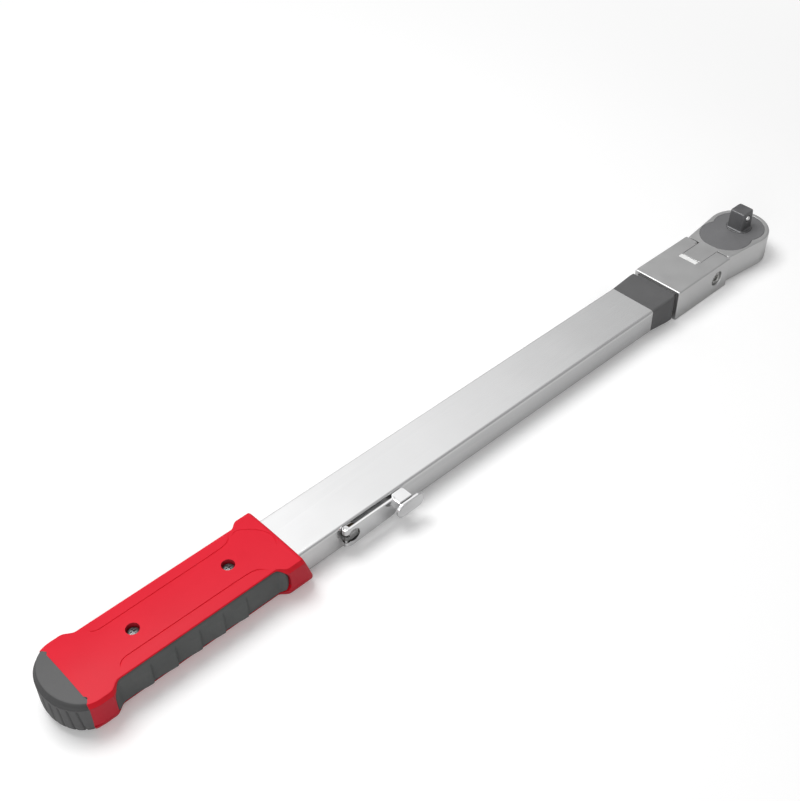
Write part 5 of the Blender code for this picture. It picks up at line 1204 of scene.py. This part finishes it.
def make_lower_shell():
    """Short side, quarter round and flat underside of one half width, mirrored, below the tube's room."""
    x, drop = grip_stations(2.4)
    top = PARTING - PARTING_GAP
    turn = np.linspace(math.asin((REST + LOW_ROUND - top) / LOW_ROUND), np.pi / 2, 16)
    flat = np.linspace(1, 0, 8)[1:]
    corner = grip_half(x)[:, None] - drop[:, None] - LOW_ROUND
    y = np.concatenate([corner + LOW_ROUND * np.cos(turn), corner * flat], axis=1)
    base = REST + drop[:, None]
    z = np.concatenate([np.minimum(base + LOW_ROUND * (1 - np.sin(turn)), top), base + 0 * flat], axis=1)
    y = np.concatenate([y, -y[:, -2::-1]], axis=1)
    z = np.concatenate([z, z[:, -2::-1]], axis=1)
    places = to_cap(x[:, None], y)
    outer = lean(np.stack([places, y, z], axis=-1))
    room_half, room_low = TUBE_HALF + ROOM, TUBE_BOTTOM - ROOM
    count = len(turn)
    inner_y = np.concatenate([np.full(count, room_half), room_half * flat])
    inner_z = np.concatenate([np.linspace(top, room_low, count), np.full(len(flat), room_low)])
    inner_y = np.concatenate([inner_y, -inner_y[-2::-1]])
    inner_z = np.concatenate([inner_z, inner_z[-2::-1]])
    inner = lean(np.stack([places, np.broadcast_to(inner_y, y.shape), np.broadcast_to(inner_z, y.shape)],
                          axis=-1))
    shell = make_piece("red_shell_lower", [shell_wall(outer, inner)], RED_NYLON, "frame",
                       ["grip_shell_lower"], 40.0)
    bore_out(shell, [pad_block(side) for side in (-1, 1)])


make_upper_shell()
make_lower_shell()

# Side pads
# Soft thermoplastic rubber pressed into a pocket along each side of both shells. Five finger
# ridges swell towards the head and drop short; the edge is rolled, the skin matt and finely grained.

RIDGE_X, RIDGE_PITCH, RIDGES, RIDGE_RISE = -566.3 * MM, 16.3 * MM, 5, 1.6 * MM
EDGE_WIDE, EDGE_DEEP = 2.8 * MM, 1.4 * MM
PAD_FLARE_X = -473.4 * MM
PAD_RUBBER = finish("pad_rubber", (0.110, 0.114, 0.112), (0.082, 0.086, 0.085), 0.0, (0.58, 0.74), 3000.0,
                    bump=0.4, patch=55.0, depth=0.06, Specular_IOR_Level=0.30)


def pad_rise(x):
    """Height of the ridges, as a share: each climbs over ten millimetres and falls in two."""
    peaks = RIDGE_X + RIDGE_PITCH * np.arange(RIDGES)
    places = np.concatenate([[peak + d * MM for d in (-11.5, -9.5, -6.0, -2.5, -0.5, 0.2, 1.0, 1.7)]
                             for peak in peaks])
    heights = np.tile([0.0, 0.18, 0.62, 0.93, 1.0, 0.88, 0.08, 0.0], RIDGES)
    return np.interp(x, places, heights)


def outline_depth(x, z, corners, radii):
    """Distance inside a rectangle whose corners are round: the corner's arc where both sides are near."""
    (left, low), (right, high) = corners[0], corners[2]
    radius = np.where(z < (low + high) / 2, np.where(x < (left + right) / 2, radii[0], radii[1]),
                      np.where(x < (left + right) / 2, radii[3], radii[2]))
    near_x, near_z = np.minimum(x - left, right - x), np.minimum(z - low, high - z)
    in_x, in_z = np.maximum(radius - near_x, 0), np.maximum(radius - near_z, 0)
    return np.where((in_x > 0) & (in_z > 0), radius - np.hypot(in_x, in_z), np.minimum(near_x, near_z))


def make_pad(side, word):
    """Grid of places along and up the outline: the grip's own width, the ridges, less the rolled edge."""
    corners, radii = pad_corners(0.12 * MM)
    (rear, low), (front, high) = corners[0], corners[2]
    ends = 10.6 * MM * (1 - np.cos(np.linspace(0, np.pi / 2, 30)))
    x = np.concatenate([rear + ends, np.arange(rear + 11.0 * MM, front - 10.8 * MM, 0.4 * MM),
                        front - ends[::-1]])[:, None]

    def reach(radius, distance):
        """How far a corner's arc pulls the edge in at a distance from its end."""
        inside = np.clip(radius - distance, 0, radius)
        return radius - np.sqrt(np.maximum(radius ** 2 - inside ** 2, 0))

    bottom = low + np.maximum(reach(radii[0], x - rear), reach(radii[1], front - x))
    top = high - np.maximum(reach(radii[3], x - rear), reach(radii[2], front - x))
    share = 0.5 - 0.5 * np.cos(np.linspace(0, np.pi, 44))
    z = bottom + (top - bottom) * share
    half = grip_half(np.minimum(x, PAD_FLARE_X))
    rim = crown(half - RIM_IN) - RIM_DROP
    swell = ease((z - low) / (3.0 * MM)) * (1 - ease((z - DECK + 4.5 * MM) / (4.5 * MM)))
    skin_y = half + 0.2 * MM + pad_rise(x) * RIDGE_RISE * swell
    skin_y = skin_y - RIM_IN * np.clip((z - rim) / RIM_DROP, 0, 1)
    skin_y = skin_y - tuck(z)
    near = 1 - np.clip(outline_depth(x, z, corners, radii) / EDGE_WIDE, 0, 1)
    skin_y = skin_y - EDGE_DEEP * (1 - np.sqrt(1 - near ** 2))
    places = np.broadcast_to(x, z.shape)
    outer = np.stack([places, side * skin_y, z], axis=-1)
    seat = np.full_like(x, side * (PAD_SEAT + 0.1 * MM))
    back = [np.stack([x, seat, edge], axis=-1) for edge in (top, bottom)]
    rows = list(np.concatenate([outer] + back, axis=1))
    make_piece(f"ridged_pad_{word}", [skin([pole(rows[0])] + rows + [pole(rows[-1])])], PAD_RUBBER, "frame",
               [f"grip_pad_{word}"], 50.0)


make_pad(-1, "near")
make_pad(1, "far")

# End cap
# Soft rubber cap over the tube's rear end, oval in plan, with a rolled rim and slanting flutes
# round its end; the same rubber as the pads, a little smoother on top.

FLUTE_PITCH, FLUTE_LEAN, FLUTE_DEEP = 13.0, 1.5, 0.85 * MM
CAP_BACK = 2.2 * MM
# The extra colours are painted shade: the rolled rim comes out darker than the top and the fluted wall.
CAP_RUBBER = finish("cap_rubber", (0.112, 0.112, 0.113), (0.088, 0.088, 0.089), 0.0, (0.50, 0.64), 3000.0,
                    bump=0.35, patch=60.0, depth=0.05, painted_light_by_slope=((0.060, 0.060, 0.061), (0.100, 0.100, 0.101)),
                    Specular_IOR_Level=0.32)


def cap_row(inset, height, flutes=0.0, low_share=0.0, back=0.0):
    """Part of an ellipse behind the shell's end, closed along the end line; flutes cut into it."""
    half, reach = BUMP - inset, GRIP_ROUND_X - GRIP_END - 0.62 * inset - back
    gap = 0.08 * MM
    start = 0.4
    for _ in range(6):
        end = cap_line(half * math.cos(start)) - gap
        start = math.asin(min((GRIP_ROUND_X - end) / reach, 1.0))
    turn = np.linspace(start, np.pi - start, 300)
    degrees = np.degrees(turn) - 90.0
    pitch = FLUTE_PITCH + FLUTE_LEAN * low_share
    nearest = np.clip(np.round(degrees / pitch), -4, 4) * pitch
    cut = flutes * np.exp(-((degrees - nearest) / 1.4) ** 2)
    x = GRIP_ROUND_X - (reach - cut) * np.sin(turn)
    y = (half - cut) * np.cos(turn)
    line = np.linspace(-1, 1, 92)[1:-1] * half * math.cos(start)
    x, y = np.append(x, cap_line(line) - gap), np.append(y, line)
    return np.column_stack([x, y, height(y)])


def make_cap():
    """Rows from the middle of the top, over the rolled rim, down the fluted wall and under."""
    rows = [cap_row(inset * MM, crown, back=CAP_BACK) for inset in (14.0, 10.0, 6.0, 3.6)]
    for inset, fall in ((2.2, 0.0), (1.9, 0.03), (1.55, 0.14), (1.25, 0.45), (1.0, 1.0), (0.75, 1.9),
                        (0.5, 2.6), (0.2, 3.1), (0.0, 3.5)):
        rows.append(cap_row(inset * MM, lambda y, fall=fall: crown(y) - fall * MM,
                            back=CAP_BACK * inset / 2.2))
    top, bottom = DECK - 2.2 * MM, REST + 2.0 * MM
    for z in np.linspace(DECK - 1.6 * MM, REST + LOW_ROUND, 16):
        share = (top - z) / (top - bottom)
        rows.append(cap_row(0.0, lambda y, z=z: np.full_like(y, z),
                            FLUTE_DEEP * ease((top + MM - z) / (1.5 * MM)), share))
    for turn in np.linspace(0, np.pi / 2, 10)[1:]:
        z = REST + LOW_ROUND * (1 - math.sin(turn))
        fade = ease((z - bottom + MM) / (3.0 * MM))
        rows.append(cap_row(LOW_ROUND * (1 - math.cos(turn)), lambda y, z=z: np.full_like(y, z),
                            FLUTE_DEEP * fade, (top - z) / (top - bottom)))
    spigot = bar((-607.0 * MM, -600.4 * MM), 12.0 * MM, TUBE_MID - 5.0 * MM, TUBE_MID + 5.0 * MM, 1.0 * MM,
                 0.2 * MM, 0.4 * MM)
    middle = np.array([GRIP_ROUND_X - 9.0 * MM, 0.0])
    ends = [np.tile((*middle, z), (len(rows[0]), 1)) for z in (crown(0.0), REST)]
    make_piece("rubber_cap", [skin([ends[0]] + rows + [ends[1]]), spigot], CAP_RUBBER, "frame", ["end_cap"],
               50.0)


make_cap()
wear(["tube_plug"], MOULDED_BLACK)

# Grip screws
# Two cross-recess pan-head screws clamp the shells through the tube into square nuts. Black zinc,
# with the recess rubbed brighter by the driver.

BLACK_ZINC = finish("black_zinc", (0.15, 0.155, 0.155), (0.08, 0.083, 0.083), 0.7, (0.30, 0.48), 1500.0,
                    bump=0.35, patch=420.0, depth=0.06, worn=(0.27, 0.27, 0.27))


def make_grip_screws():
    """Domed head from a quarter ellipse, stem below, and two crossed bars cut into the head."""
    tip = TUBE_BOTTOM - 2.5 * MM
    for number, x in enumerate(GRIP_SCREW_XS, 1):
        seat = SCREW_SEAT + 0.3 * MM
        dome = [(3.5 * math.sin(a), 1.1 + 0.9 * math.cos(a)) for a in np.linspace(0.12, np.pi / 2, 9)]
        profile = [(0.0, 2.0)] + dome + [(3.45, 0.3), (3.2, 0.0), (1.6, 0.0), (1.6, (tip - seat) / MM),
                                         (0.0, (tip - seat) / MM)]
        rows = [level(circle((x, 0), reach * MM, 72), seat + high * MM) for reach, high in profile[1:-1]]
        rows = [pole(rows[0])] + rows + [pole(rows[-1])]
        screw = make_piece(f"cross_screw_{number}", [skin(rows)], BLACK_ZINC, "frame",
                           [f"grip_screw_{number}"])
        top, deep, long, short = seat + 3 * MM, seat + 0.9 * MM, 2.1 * MM, 0.42 * MM
        bore_out(screw, [box_skin((x - long, x + long), (-short, short), (deep, top)),
                         box_skin((x - short, x + short), (-long, long), (deep, top))])


make_grip_screws()
wear(["grip_nut_1", "grip_nut_2"], SPRING_GREY)
